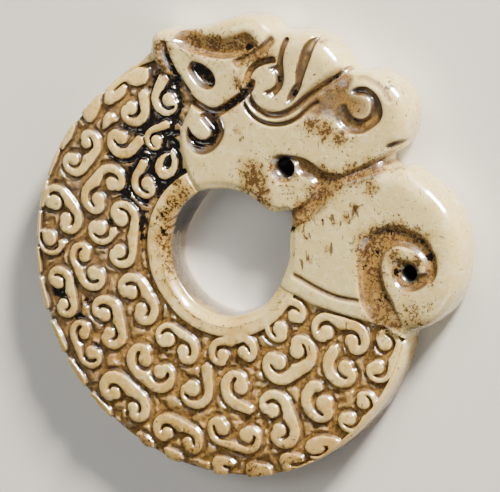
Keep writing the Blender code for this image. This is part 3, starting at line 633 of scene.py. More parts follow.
def carvedBack(x, y, edgeAway, openAway, outlines, stainsAndShade=None):
    # Height of the back below the middle plane, as a positive number. It is built up as the front is, with
    # fewer and softer islands and nothing cut into head and tail.
    level = faceLevel(x, y, back=True)
    raised = np.maximum(scrollField(x, y, outlines), stone["rimRadius"] - np.hypot(x, y))
    wall = stone["wallWidth"]
    standing = easeBetween(raised, -wall, wall * 0.5)
    cut = stone["relief"] * (stone["backRelief"] + 0.08 * waves(x, y, 6.0, 23, 2))
    cut = cut + 0.05 * waves(x, y, 1.4, 29, 2)
    ridge = easeBetween(-raised, 0.75, 1.1) * easeBetween(waves(x, y, 6.5, 31, 2), -0.1, 0.5)
    fieldHeight = level - stone["backClear"] - cut * (1 - standing) * (1 - stone["backIslandHeight"] * ridge)
    plain = outlineDepth(x, y, np.array(plainPatch))
    head = stone["halfThickness"] - 0.1 - 0.45 * np.clip(1 - plain / 1.2, 0, 1) ** 2
    mix = easeBetween(plain, *stone["headBlend"])
    height = fieldHeight + (head - fieldHeight) * mix
    if stainsAndShade is not None:
        stainsAndShade["sunk"] = (1 - mix) * (1 - standing)
        # dirt and painted shade at the feet of the walls
        stainsAndShade["footDirtAndShade"] = (1 - mix) * np.exp(-((raised + 0.16) / 0.2) ** 2) * (raised < 0)
        stainsAndShade["skin"] = mix
        stainsAndShade["fill"] = ridge * (1 - standing) * (1 - mix)
    fallen = roundedFall(edgeAway, *stone["backHeadRounding"], 2.6)
    height = height - fallen * easeBetween(plain, -1.0, 0.6) + 0.02 * waves(x, y, 1.9, 47, 2)
    return height - roundedFall(openAway, *stone["backLipRounding"])


def rowShares(count, nearStart, nearEnd):
    # shares from 0 to 1 that crowd together at both ends: their density is 1 + start * exp(-share / 0.02) +
    # end * exp(-(1 - share) / 0.035)
    t = np.linspace(0, 1, 400)
    density = 1 + nearStart * np.exp(-t / 0.02) + nearEnd * np.exp(-(1 - t) / 0.035)
    total = np.concatenate([[0], np.cumsum((density[1:] + density[:-1]) / 2)])
    return np.interp(np.linspace(0, total[-1], count), total, t)


def stoneGrid():
    # The stone as a tube closed on itself: every column is a section through the ring at one angle, run over
    # the front from the opening outwards, down the edge, back over the back, and up the wall of the opening.
    angles, edge = edgeDistance()
    openFront = openingDistance(openingFront, angles)
    openBack = openingDistance(openingBack, angles)
    cosine, sine = np.cos(angles), np.sin(angles)
    edgeLine = np.stack([edge * cosine, edge * sine], 1)[::4]
    openLine = np.stack([openFront * cosine, openFront * sine], 1)[::5]
    backOpenLine = np.stack([openBack * cosine, openBack * sine], 1)[::5]

    def face(rows, inner, outer, innerLine):
        # points of one face, and how far each lies from the outer edge and the opening where that matters
        radius = inner[:, None] + (outer - inner)[:, None] * rows[None, :]
        x = (radius * cosine[:, None]).ravel()
        y = (radius * sine[:, None]).ravel()
        edgeAway = np.full(x.shape, 9.0)
        openAway = np.full(x.shape, 9.0)
        close = np.nonzero(((outer[:, None] - radius) < 5.0).ravel())[0]
        for part in np.array_split(close, 40):
            edgeAway[part] = nearLine(x[part], y[part], edgeLine, closed=True)[0]
        close = np.nonzero(((radius - inner[:, None]) < 1.5).ravel())[0]
        for part in np.array_split(close, 20):
            openAway[part] = nearLine(x[part], y[part], innerLine, closed=True)[0]
        edgeAway[(outer[:, None] == radius).ravel()] = 0.0
        openAway[(inner[:, None] == radius).ravel()] = 0.0
        return x, y, edgeAway, openAway

    columns = stone["columns"]
    # the ground between the scrolls is cut back at the edge too, looked up half a millimetre inside it
    probe = edge - 0.5
    covered = scrollField(probe * cosine, probe * sine, frontScrolls)
    plainEdge = outlineDepth(probe * cosine, probe * sine, np.array(plainPatch))
    recess = stone["edgeRecess"] * (1 - easeBetween(covered, -0.3, 0.2))
    recess = recess * (1 - easeBetween(plainEdge, -0.4, 0.2))
    leftness = easeBetween(-cosine, -0.35, 0.25)
    frontEdge = edge - recess * leftness

    frontShares = rowShares(stone["frontRows"], 1.2, 2.2)
    x, y, edgeAway, openAway = face(frontShares, openFront, frontEdge, openLine)
    z = carvedFront(x, y, edgeAway, openAway)
    front = np.stack([x, y, z], 1).reshape(columns, -1, 3)
    print("front carved")
    backShares = rowShares(stone["backRows"], 1.0, 2.0)
    x, y, edgeAway, openAway = face(backShares, openBack, edge, backOpenLine)
    z = -carvedBack(x, y, edgeAway, openAway, backOutlines(angles, edge))
    back = np.stack([x, y, z], 1).reshape(columns, -1, 3)[:, ::-1]
    print("back carved")

    t = np.linspace(0, 1, stone["sideRows"] + 2)[1:-1]
    height = front[:, -1:, 2] + (back[:, :1, 2] - front[:, -1:, 2]) * t
    radius = frontEdge[:, None] + (edge - frontEdge)[:, None] * easeBetween(t, 0.1, 0.7)
    side = np.stack([radius * cosine[:, None], radius * sine[:, None], height], 2)

    t = np.linspace(0, 1, stone["wallRows"] + 2)[1:-1]
    height = back[:, -1:, 2] + (front[:, :1, 2] - back[:, -1:, 2]) * t
    waist = stone["waist"] * (1 - (2 * t - 1) ** 2)
    radius = openBack[:, None] + (openFront - openBack)[:, None] * t - waist
    wall = np.stack([radius * cosine[:, None], radius * sine[:, None], height], 2)
    return np.concatenate([front, side, back, wall], axis=1)


def addObject(name, data):
    # object for a mesh, lamp or camera, in the scene
    thing = bpy.data.objects.new(name, data)
    bpy.context.scene.collection.objects.link(thing)
    return thing


def gridMesh(name, grid):
    # quads between neighbouring columns and rows, closed both ways
    columns, rows = grid.shape[:2]
    index = np.arange(columns * rows).reshape(columns, rows)
    quads = np.stack([index, np.roll(index, -1, 1), np.roll(np.roll(index, -1, 0), -1, 1),
                      np.roll(index, -1, 0)], 2).reshape(-1, 4)
    mesh = bpy.data.meshes.new(name)
    mesh.vertices.add(columns * rows)
    mesh.vertices.foreach_set("co", grid.astype(np.float32).ravel())
    mesh.loops.add(quads.size)
    mesh.loops.foreach_set("vertex_index", quads.astype(np.int32).ravel())
    mesh.polygons.add(len(quads))
    mesh.polygons.foreach_set("loop_start", np.arange(0, quads.size, 4, dtype=np.int32))
    mesh.update(calc_edges=True)
    mesh.validate()
    return mesh


# Drill: height, and how much wider than the hole it is there, from the back to the front
drillProfile = np.array(((-4.5, 0.75), (-3.4, 0.45), (-2.2, 0.0), (0.0, -0.15), (2.0, 0.0), (4.5, 0.1)))
drillSides = 96


def drillBit(cx, cy, radius):
    # cutter for a hole right through: the profile turned round the middle of the hole, closed at both ends
    turns = np.linspace(0, 2 * np.pi, drillSides, endpoint=False)
    z, wider = drillProfile[:, :1], drillProfile[:, 1:]
    x = cx + (radius + wider) * np.cos(turns)
    y = cy + (radius + wider) * np.sin(turns)
    points = (np.stack([x, y, z + 0 * turns], 2).reshape(-1, 3) + openingMiddle) / perMetre
    index = np.arange(len(points)).reshape(len(drillProfile), drillSides)
    low, high = index[:-1], index[1:]
    sides = np.stack([low, np.roll(low, -1, 1), np.roll(high, -1, 1), high], 2).reshape(-1, 4)
    mesh = bpy.data.meshes.new("drillBit")
    mesh.from_pydata(points.tolist(), [], [index[0, ::-1].tolist(), index[-1].tolist()] + sides.tolist())
    return addObject("drillBit", mesh)


low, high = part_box("dragon_pendant")
# the body touches the left and lower sides of the node's box
openingMiddle = np.array([
    low[0] * perMetre + stone["ringRadius"] - stone["ringOffset"][0],
    low[1] * perMetre + stone["ringRadius"] - stone["ringOffset"][1],
    stone["halfThickness"],
])
jade = addObject("carved_jade", gridMesh("carvedJade", (stoneGrid() + openingMiddle) / perMetre))


def applied(thing):
    # mesh of an object with its modifiers worked out
    mesh = bpy.data.meshes.new_from_object(thing.evaluated_get(bpy.context.evaluated_depsgraph_get()))
    thing.modifiers.clear()
    return mesh


bits = [drillBit(*row[:3]) for row in drilledHoles]
for bit in bits:
    drill = jade.modifiers.new("drill", "BOOLEAN")
    drill.object = bit
    drill.operation = "DIFFERENCE"
    drill.solver = "MANIFOLD"
fullMesh = applied(jade)
fullMesh.shade_smooth()
for bit in bits:
    bpy.data.objects.remove(bit)
print("holes drilled")
fullStone = addObject("fullStone", fullMesh)
jade.data = fullMesh.copy()
thin = jade.modifiers.new("thin", "DECIMATE")
thin.ratio = stone["triangles"] / (2 * len(fullMesh.polygons))
thin.use_collapse_triangulate = True
# the thinned mesh keeps the shading of the full one
normals = jade.modifiers.new("normals", "DATA_TRANSFER")
normals.object = fullStone
normals.use_loop_data = True
normals.data_types_loops = {"CUSTOM_NORMAL"}
normals.loop_mapping = "POLYINTERP_NEAREST"
final = applied(jade)
jade.data = final
bpy.data.objects.remove(fullStone)
print("stone meshed:", len(final.polygons), "triangles")

# Where dirt has gathered: middle and radius of each spot in mm, and its strength. Soot fills only what is
# cut deep, except on the rim of the opening.
sootSpots = (
    (-9.3, 25.5, 3.0, 1.1), (-8.2, 22.6, 2.4, 1.2), (-9.0, 19.0, 3.0, 1.2), (-8.8, 15.5, 2.8, 1.2),
    (-10.8, 13.0, 3.2, 1.2), (-12.4, 17.5, 3.0, 1.1), (-14.8, 14.2, 3.0, 1.0), (-8.0, 12.0, 2.6, 1.2),
    (-15.6, 10.6, 2.4, 1.0), (-14.9, 7.2, 1.8, 1.1), (-15.0, 3.9, 1.6, 1.0), (-13.0, 21.0, 2.2, 1.0),
    (-18.5, 15.0, 2.6, 0.7), (-17.0, 8.6, 2.0, 0.9), (-16.0, 19.0, 2.0, 0.6), (-29.3, -8.6, 1.5, 0.9),
    (-27.0, -11.8, 1.3, 0.8), (-30.9, -7.9, 1.1, 0.9), (-25.5, -9.5, 1.6, 0.6), (-30.0, -1.4, 1.2, 0.8),
    (-27.4, -6.5, 1.5, 0.5), (-20.4, 3.8, 0.9, 0.7), (-24.0, -16.5, 1.2, 0.6), (-0.6, 19.6, 1.3, 0.9),
    (-1.6, 17.8, 1.2, 0.9), (-3.5, 17.3, 1.3, 0.9), (-0.6, 21.6, 1.0, 0.7), (-4.8, 18.9, 0.9, 1.0),
    (0.6, 22.8, 0.9, 0.6), (1.7, 23.2, 1.0, 0.8), (2.8, 23.9, 1.0, 0.9), (3.9, 24.6, 1.0, 0.9),
    (4.9, 25.6, 0.9, 0.8), (5.6, 26.8, 0.8, 0.6), (-3.0, 29.0, 1.8, 0.75), (-1.6, 28.2, 1.6, 0.7),
    (-0.9, 27.2, 1.2, 0.7), (6.2, 32.6, 1.0, 0.9), (20.8, 29.2, 1.2, 0.9), (18.5, 27.8, 0.8, 0.6),
    (24.8, 22.5, 1.0, 0.8), (11.0, 28.0, 0.8, 0.8), (14.0, 26.0, 0.8, 0.8), (36.5, 1.1, 0.9, 1.0),
    (26.9, 1.0, 1.0, 0.6), (30.5, -1.5, 0.7, 0.9), (35.6, 3.6, 0.8, 0.75), (24.8, -1.1, 0.8, 0.6),
    (29.7, 4.7, 1.0, 0.6), (27.8, -6.0, 1.0, 0.6), (34.2, -3.1, 0.7, 0.6), (-14.3, 4.6, 1.0, 0.8),
    (-14.5, 1.6, 1.0, 0.7), (-14.0, 6.4, 1.1, 0.9), (-14.6, -0.6, 0.8, 0.55), (-10.0, 30.5, 1.5, 0.6),
    (-5.0, 26.4, 0.9, 0.7), (-5.9, 27.8, 0.9, 0.65), (-6.8, 29.4, 0.9, 0.6), (-8.2, 30.6, 0.8, 0.9),
    (-7.5, 28.7, 0.9, 0.9), (-6.9, 27.4, 0.9, 1.0), (-8.4, 29.7, 0.6, 0.7), (-9.6, 10.6, 2.0, 0.9),
    (-11.6, 9.6, 1.8, 0.9), (-13.4, 17.0, 2.4, 0.9),
)
rimSpots = (
    (-10.75, 3.0, 0.95, 0.68), (-10.6, 2.1, 0.8, 0.55), (-11.4, 4.8, 0.7, 0.62), (-9.6, 6.7, 0.65, 0.62),
    (-7.7, 7.2, 0.7, 0.62), (-5.6, 9.3, 0.6, 0.58), (-7.5, 10.8, 0.6, 0.55), (-10.3, 5.3, 1.1, 0.48),
    (-8.8, 7.3, 1.1, 0.44), (-11.0, 0.9, 0.8, 0.42), (12.8, 4.4, 1.0, 0.6), (-10.9, -2.2, 0.7, 0.40),
)
# Places where the brown of the cuts turns grey: smoke on the left of the body, and a painted grey
# sheen in the polished hollows of the head
smokeAndSheenSpots = (
    (-9.0, 22.0, 6.0, 0.9), (-12.0, 15.0, 6.5, 0.9), (-17.0, 19.0, 4.0, 0.7), (-14.0, 8.0, 3.5, 0.7),
    (19.5, 25.4, 3.0, 0.9), (22.0, 21.6, 1.8, 0.7), (-2.8, 29.0, 2.0, 0.5), (-2.5, 18.5, 3.0, 0.8),
    (8.0, 22.4, 2.0, 0.5), (12.2, 32.0, 1.8, 0.7), (11.4, 28.0, 1.2, 0.8), (15.6, 30.0, 1.6, 0.7),
    (16.6, 33.0, 1.6, 0.7), (14.2, 26.0, 1.2, 0.8), (6.4, 32.4, 1.6, 0.8), (21.2, 33.4, 1.6, 0.6),
    (-5.0, 32.4, 2.0, 0.5), (-10.2, 28.6, 2.5, 0.5), (5.8, 25.0, 1.6, 0.9), (8.4, 22.4, 1.6, 0.9),
    (11.6, 22.2, 1.6, 0.9), (14.8, 23.8, 1.8, 0.9), (28.6, 24.6, 2.2, 0.6), (26.0, 26.8, 2.0, 0.6),
    (22.6, 23.0, 1.4, 0.8), (22.0, 31.6, 1.6, 0.8),
)
# Places with small scratches that hold dirt
dashSpots = (
    (15.1, 3.5, 1.3, 1.0), (14.8, -0.8, 1.5, 0.95), (18.2, 1.7, 1.1, 0.95), (19.7, 1.4, 1.0, 0.9),
    (12.9, 0.3, 1.1, 0.9), (19.8, 6.9, 1.2, 1.0), (17.8, 5.6, 1.0, 0.9), (21.1, 5.8, 1.1, 0.9),
    (23.8, 7.3, 1.4, 1.0), (16.7, 1.7, 0.9, 0.8), (17.4, -1.6, 0.9, 0.8), (31.2, 28.0, 1.9, 0.7),
    (34.4, 20.8, 2.0, 0.6), (36.4, 5.8, 1.2, 0.4), (28.6, 8.8, 1.2, 0.4),
)
# Places with dark grains and a brown haze
speckleSpots = (
    (5.5, 31.2, 1.6, 0.9), (8.0, 31.3, 1.6, 0.9), (10.4, 31.2, 1.1, 0.7), (4.4, 27.0, 1.3, 1.0),
    (17.0, 21.3, 1.8, 1.0), (19.4, 20.6, 1.9, 0.9), (22.0, 19.4, 1.8, 0.8), (24.2, 19.2, 1.0, 0.5),
    (33.0, -9.0, 3.6, 0.6), (27.4, -9.6, 3.0, 0.8), (-8.0, -34.0, 4.0, 0.6), (2.0, -34.0, 4.0, 0.6),
    (10.0, -33.0, 4.0, 0.5), (-16.0, -31.0, 3.4, 0.6), (24.8, -1.0, 1.6, 0.8), (25.0, 3.2, 1.6, 0.7),
    (11.4, 13.8, 2.7, 1.0), (-9.0, 31.9, 1.6, 1.25), (-8.7, 29.6, 1.5, 1.25), (-7.7, 27.2, 1.3, 1.1),
    (28.0, 4.4, 2.0, 1.0), (31.6, 5.2, 2.0, 1.0), (35.4, 3.6, 1.8, 1.0), (25.2, 1.2, 1.6, 1.2),
    (32.4, -1.6, 2.4, 1.0), (15.0, 7.4, 2.4, 0.9), (17.6, 10.2, 2.6, 0.9), (20.6, 12.4, 2.4, 0.9),
    (24.0, 13.6, 2.2, 0.9), (27.2, 14.8, 2.0, 0.9), (30.2, 15.8, 1.8, 0.9), (18.4, 13.4, 1.8, 0.9),
    (13.6, 5.4, 1.4, 0.9), (6.2, 12.2, 2.6, 1.2), (7.6, 10.2, 1.8, 1.1), (7.8, 8.8, 1.8, 0.9),
    (4.6, 10.6, 1.4, 0.8), (3.8, 19.6, 0.7, 0.7), (22.6, 6.6, 0.9, 1.0), (24.0, 8.3, 0.9, 0.9),
    (17.8, 6.0, 0.6, 0.8), (20.2, 5.8, 0.8, 0.6), (15.2, 3.2, 0.5, 0.9), (15.6, -0.6, 0.5, 0.7),
    (18.6, 1.4, 0.9, 0.5), (33.2, -7.8, 0.6, 0.9), (36.0, -7.0, 0.7, 0.9), (39.3, 4.2, 0.4, 0.8),
    (27.0, 11.6, 1.6, 0.8), (23.0, 13.0, 1.4, 0.8), (28.6, 15.2, 1.2, 0.9), (9.4, 32.0, 1.8, 0.6),
    (4.2, 27.8, 0.8, 0.8), (-12.4, 3.6, 0.9, 0.6), (-10.8, -3.2, 0.8, 0.6), (-10.2, 5.5, 1.5, 1.0),
    (-8.6, 7.6, 1.5, 1.0), (-6.8, 9.4, 1.4, 0.9), (-11.0, 1.5, 1.3, 0.9), (-3.5, 33.2, 2.4, 1.0),
    (0.5, 33.0, 2.4, 1.0), (4.0, 33.0, 2.2, 1.0), (7.2, 33.4, 1.5, 0.9), (26.0, 3.0, 2.2, 1.0),
    (30.0, 4.6, 2.2, 1.0), (34.5, 4.0, 2.0, 1.0), (37.0, 1.0, 1.3, 1.0), (26.6, -2.0, 2.2, 1.0),
    (28.0, -6.5, 2.4, 1.0), (30.5, 0.8, 2.0, 0.9), (34.6, 0.4, 1.6, 0.8), (32.0, -4.4, 1.2, 0.6),
    (36.4, -2.4, 1.2, 0.8), (29.5, -9.6, 2.6, 0.8), (34.5, -9.4, 2.6, 0.5), (24.6, 0.6, 1.2, 0.8),
    (27.8, 1.4, 1.6, 1.0), (12.6, 10.2, 1.6, 0.4), (16.8, 13.2, 0.9, 0.9), (13.9, 13.0, 0.8, 0.9),
    (19.6, 10.6, 1.8, 0.6), (16.0, 7.4, 2.0, 0.6), (14.0, 6.0, 1.6, 0.8), (-9.2, 29.6, 2.0, 0.9),
    (-7.8, 32.6, 1.4, 0.6), (-11.0, -1.0, 1.1, 0.7), (-7.6, 10.8, 1.1, 0.9), (-10.6, -5.2, 0.9, 0.5),
    (18.6, 26.6, 1.8, 0.6), (21.0, 26.8, 1.2, 0.7), (25.3, 24.4, 1.4, 0.6), (28.5, 24.0, 1.0, 0.5),
    (0.6, 21.4, 0.9, 0.5), (-6.2, 28.4, 1.0, 0.5), (2.4, 23.6, 1.4, 0.6), (8.0, 22.8, 0.9, 0.5),
    (12.0, 21.9, 0.9, 0.5),
)


def spotField(x, y, spots):
    # strongest of the spots at a point: strength * exp(-(distance / radius)^2)
    field = np.zeros_like(x)
    for cx, cy, radius, strength in spots:
        near = np.nonzero((np.abs(x - cx) < 2.6 * radius) & (np.abs(y - cy) < 2.6 * radius))[0]
        away = ((x[near] - cx) ** 2 + (y[near] - cy) ** 2) / radius ** 2
        field[near] = np.maximum(field[near], strength * np.exp(-away))
    return field


def paintStone(mesh):
    # vertex values that the stone's surface reads, worked out from the carving at the place of every vertex
    points = np.empty(len(mesh.vertices) * 3, dtype=np.float32)
    mesh.vertices.foreach_get("co", points)
    x, y, z = (points.reshape(-1, 3).astype(float) * perMetre - openingMiddle).T
    away = np.full(x.shape, 9.0)
    front, back = {}, {}
    carvedFront(x, y, away, away, front)
    angles, edge = edgeDistance()
    carvedBack(x, y, away, away, backOutlines(angles, edge), back)
    upper = easeBetween(z, -0.4, 0.4)
    radius = np.hypot(x, y)
    bearing = np.mod(np.arctan2(y, x), 2 * np.pi)
    atFront = np.interp(bearing, angles, openingDistance(openingFront, angles), period=2 * np.pi)
    atBack = np.interp(bearing, angles, openingDistance(openingBack, angles), period=2 * np.pi)
    opening = atBack + (atFront - atBack) * np.clip(z / 7.2 + 0.5, 0, 1)
    wall = easeBetween(opening + 0.12 - radius, 0, 0.3) * easeBetween(3.3 - np.abs(z), 0, 0.4)
    # the drilled holes are painted near-black inside: painted shade
    hole = np.zeros_like(x)
    for cx, cy, size in [row[:3] for row in drilledHoles]:
        inside = easeBetween(size + 0.5 - np.hypot(x - cx, y - cy), 0, 0.3)
        hole = np.maximum(hole, inside * easeBetween(3.5 - z, 0, 0.4))
    rimless = easeBetween(np.interp(bearing, angles, edge, period=2 * np.pi) - radius, 0.05, 0.4)
    values = {name: front[name] * upper + back[name] * (1 - upper) for name in front}
    values["sunk"] = values["sunk"] * (0.35 + 0.65 * rimless)
    values["footDirtAndShade"] = values["footDirtAndShade"] * rimless
    values["soot"] = np.maximum(spotField(x, y, sootSpots) * easeBetween(values["sunk"], 0.3, 0.7),
                                spotField(x, y, rimSpots)) * upper
    # the upper left of the opening's wall is painted black
    sector = np.cos(bearing - np.radians(128))
    values["soot"] = np.maximum(values["soot"], wall * easeBetween(sector, 0.62, 0.95))
    # the cuts turn grey: smoke over the left of the body, and spots of painted grey sheen on the head
    smokeAndSheen = 0.72 * easeBetween(-x - 0.3 * np.abs(y), 10, 22) * (0.6 + 0.6 * waves(x, y, 12.0, 71, 2))
    values["smokeAndSheen"] = np.maximum(smokeAndSheen, spotField(x, y, smokeAndSheenSpots)) * upper
    values["dashes"] = spotField(x, y, dashSpots) * upper
    rimLine = np.exp(-((radius - atFront - 1.6) / 0.3) ** 2) * (0.45 + 0.3 * waves(x, y, 5.0, 83, 2))
    # brown haze and grains on the slanted lip of the opening, mostly on the left
    leftSide = easeBetween(np.cos(bearing - np.radians(163)), 0.5, 0.9)
    lip = easeBetween(1.6 - (radius - atFront), 0, 0.6) * leftSide
    lip = lip * (0.72 + 0.3 * waves(x, y, 3.0, 87, 2))
    onRim = np.maximum(rimLine, lip) * (1 - values["skin"])
    values["speckle"] = np.maximum(spotField(x, y, speckleSpots), onRim) * upper
    values["wall"] = wall
    values["hole"] = hole
    for name, value in values.items():
        layer = mesh.attributes.new(name, "FLOAT", "POINT")
        layer.data.foreach_set("value", value.astype(np.float32))


def linear(code):
    # sRGB hex colour to linear light
    part = np.array([int(code[i:i + 2], 16) / 255 for i in (1, 3, 5)])
    part = np.where(part <= 0.04045, part / 12.92, ((part + 0.055) / 1.055) ** 2.4)
    return (*(float(c) for c in part), 1.0)


def addNode(tree, kind, *values, **settings):
    # Node with its settings. The values fill the sockets in use, in their order: a plain value is set, and
    # another node's output, or the first one of a node, is linked. None leaves a socket as it is.
    node = tree.nodes.new("ShaderNode" + kind)
    for name, setting in settings.items():
        setattr(node, name, setting)
    for socket, value in zip([socket for socket in node.inputs if socket.enabled], values):
        if isinstance(value, bpy.types.Node):
            value = next(output for output in value.outputs if output.enabled)
        if isinstance(value, bpy.types.NodeSocket):
            tree.links.new(value, socket)
        elif value is not None:
            socket.default_value = value
    return node


stoneLook = {
    "colours": {
        "cream": "#EBD088",
        "warm": "#CEA85C",
        "skin": "#DAC88E",              # greyer stone of head and tail
        "skinCloud": "#EEE4C0",
        "honey": "#C89E57",             # stained lower end
        "ground": "#A67F40",
        "groundDeep": "#5A3F18",
        "footDirtAndShade": "#33200C",              # old dirt and painted shade at the feet of the walls
        "haze": "#9E7A3A",
        "speck": "#42240A",
        # grey of the smoke, and of the painted sheen in the head's hollows
        "smokeAndSheen": "#685B4C",
        # also the painted shade inside the drilled holes
        "soot": "#0D0805",
        "wall": "#625850",
        "wallStreak": "#3E362F",
    },
    "clouds": {                         # width of one cloud in millimetres, detail, roughness
        "cloud": (9.0, 3.0, 0.55),
        "patches": (3.2, 4.0, 0.6),
        "mottle": (1.5, 3.0, 0.7),
        "scratches": (0.7, 2.0, 0.5),   # drawn three times as long up the stone
        "grain": (0.6, 4.0, 0.7),
        "streaks": (0.32, 4.0, 0.7),    # run round the wall of the opening
        "fine": (0.25, 2.0, 0.6),
    },
    "sockets": {
        "Specular IOR Level": 0.2,
        "Subsurface Weight": 0.10,
        "Subsurface Radius": (1.0, 0.78, 0.45),
        "Subsurface Scale": 0.0007,
        "Coat Roughness": 0.08,
        "Coat IOR": 1.6,
    },
    "roughness": 0.24,
    "bumpDepth": 0.0001,                # metres
    "openingScale": 0.0021,             # metres of streak for a turn of one radian round the opening
}


def paintedStone():
    # Aged nephrite, carved and polished by hand: waxy cream stone that looks slightly translucent, brown
    # ground, dirt and painted shade in the corners, painted grey sheen in the head's hollows, painted shade
    # in the drilled holes, and a hard polish that gives small bright highlights
    material = bpy.data.materials.new("agedNephrite")
    material.use_nodes = True
    tree = material.node_tree
    shader = tree.nodes["Principled BSDF"]
    for name, value in stoneLook["sockets"].items():
        shader.inputs[name].default_value = value
    ease = {"interpolation_type": "SMOOTHSTEP"}
    times, timesPlus = {"operation": "MULTIPLY"}, {"operation": "MULTIPLY_ADD"}
    most = {"operation": "MAXIMUM"}

    # where a point lies, from the middle of the opening, and what was painted there
    place = addNode(tree, "TexCoord").outputs["Object"]
    offset = tuple(-float(c) / perMetre for c in openingMiddle)
    centred = addNode(tree, "VectorMath", place, offset, operation="ADD")
    across, up, out = addNode(tree, "SeparateXYZ", centred).outputs
    sunk, footDirtAndShade, skin, fill, soot, speckle, wall, hole, smokeAndSheen, dashes = [
        addNode(tree, "Attribute", attribute_name=name).outputs["Fac"]
        for name in ("sunk", "footDirtAndShade", "skin", "fill", "soot", "speckle", "wall", "hole", "smokeAndSheen", "dashes")]

    # clouds, scratches and streaks; the streaks read the way round and the height
    scored = addNode(tree, "Mapping", place, None, None, (1.0, 0.3, 1.0))
    down = addNode(tree, "Math", up, -1.0, **times)
    back = addNode(tree, "Math", across, -1.0, **times)
    turn = addNode(tree, "Math", down, back, operation="ARCTAN2")
    roundWay = addNode(tree, "Math", turn, stoneLook["openingScale"], **times)
    unrolled = addNode(tree, "CombineXYZ", roundWay, out)
    noise = {}
    for name, (size, detail, roughness) in stoneLook["clouds"].items():
        vector = {"scratches": scored, "streaks": unrolled}.get(name, place)
        noise[name] = addNode(tree, "TexNoise", vector, perMetre / size, detail, roughness)
    cloud, patches, mottle = noise["cloud"], noise["patches"], noise["mottle"]
    grain, fine = noise["grain"], noise["fine"]

    # cream stone with warmer and greyer clouds, stained towards the lower end
    creamShare = addNode(tree, "MapRange", cloud, 0.35, 0.65, **ease)
    skinShare = addNode(tree, "Math", skin, 0.8, **times)
    patchShare = addNode(tree, "MapRange", patches, 0.52, 0.70, 0.0, 0.30, **ease)
    mottleShare = addNode(tree, "MapRange", mottle, 0.5, 0.62, 0.0, 0.35, **ease)
    lowEnd = addNode(tree, "MapRange", up, -0.034, -0.022, 1.0, 0.0, **ease)
    stained = addNode(tree, "MapRange", cloud, 0.3, 0.6, 0.35, 0.75, **ease)
    honeyShare = addNode(tree, "Math", lowEnd, stained, **times)

    # brown ground, grey where it is smoked and where a grey sheen is painted
    grainy = addNode(tree, "Mix", 0.4, grain, patches)
    paleShare = addNode(tree, "MapRange", grainy, 0.41, 0.58, **ease)
    smokeAndSheenGaps = addNode(tree, "MapRange", patches, 0.30, 0.62, 1.0, 0.55, **ease)
    smokeAndSheenShare = addNode(tree, "Math", smokeAndSheen, smokeAndSheenGaps, **times)

    # The ground is what lies deep, less its islands, which are paler where there is no smoke or painted
    # sheen. On head and tail the floors of the grooves are worn back to the pale stone in places.
    cutShare = addNode(tree, "MapRange", sunk, 0.05, 0.42, **ease)
    palerIslands = addNode(tree, "MapRange", smokeAndSheen, 0.1, 0.7, 0.30, 0.04, **ease)
    filled = addNode(tree, "Math", fill, palerIslands, **times)
    deep = addNode(tree, "Math", cutShare, filled, operation="SUBTRACT", use_clamp=True)
    speckled = addNode(tree, "MapRange", speckle, 0.3, 0.9, **ease)
    wornPatches = addNode(tree, "MapRange", mottle, 0.45, 0.58, 0.0, 0.5, **ease)
    worn = addNode(tree, "Math", speckled, wornPatches, **times)
    worn = addNode(tree, "Math", skin, worn, **times)
    unworn = addNode(tree, "Math", 1.0, worn, operation="SUBTRACT")
    groundShare = addNode(tree, "Math", deep, unworn, **times)

    # dirt and painted shade at the feet of the walls, haze and grains: the denser the speckle, the more
    # of the noise shows
    footClouds = addNode(tree, "MapRange", grain, 0.25, 0.65, 0.55, 1.0, **ease)
    footBoost = addNode(tree, "MapRange", smokeAndSheen, 0.0, 0.5, 0.7, 1.0, **ease)
    footBoost = addNode(tree, "Math", footBoost, skin, **most)
    footShare = addNode(tree, "Math", footDirtAndShade, footClouds, **times)
    footShare = addNode(tree, "Math", footShare, footBoost, **times)
    hazy = addNode(tree, "Math", patches, 0.8, speckle, **timesPlus)
    hazeShare = addNode(tree, "MapRange", hazy, 0.55, 1.15, 0.0, 0.7, **ease)
    specks = addNode(tree, "Mix", 0.25, grain, fine)
    specks = addNode(tree, "Math", speckle, 0.165, specks, **timesPlus)
    speckShare = addNode(tree, "MapRange", specks, 0.58, 0.66, 0.0, 0.9, **ease)
    scratched = addNode(tree, "Math", dashes, 0.29, noise["scratches"], **timesPlus)
    scratchShare = addNode(tree, "MapRange", scratched, 0.71, 0.76, 0.0, 0.8, **ease)

    # dark wall of the opening, soot with grainy edges, and painted shade inside the drilled holes
    wallShare = addNode(tree, "Math", wall, 0.92, **times)
    streakShare = addNode(tree, "MapRange", noise["streaks"], 0.40, 0.60, **ease)
    wallClouds = addNode(tree, "Mix", 0.4, cloud, patches)
    wallWarmShare = addNode(tree, "MapRange", wallClouds, 0.50, 0.62, 0.0, 0.45, **ease)
    grimy = addNode(tree, "Math", fine, 0.5, soot, **timesPlus)
    grimy = addNode(tree, "Math", grain, 1.3, grimy, **timesPlus)
    sootShare = addNode(tree, "MapRange", grimy, 1.26, 1.46, **ease)
    holeShare = addNode(tree, "Math", hole, 0.97, **times)

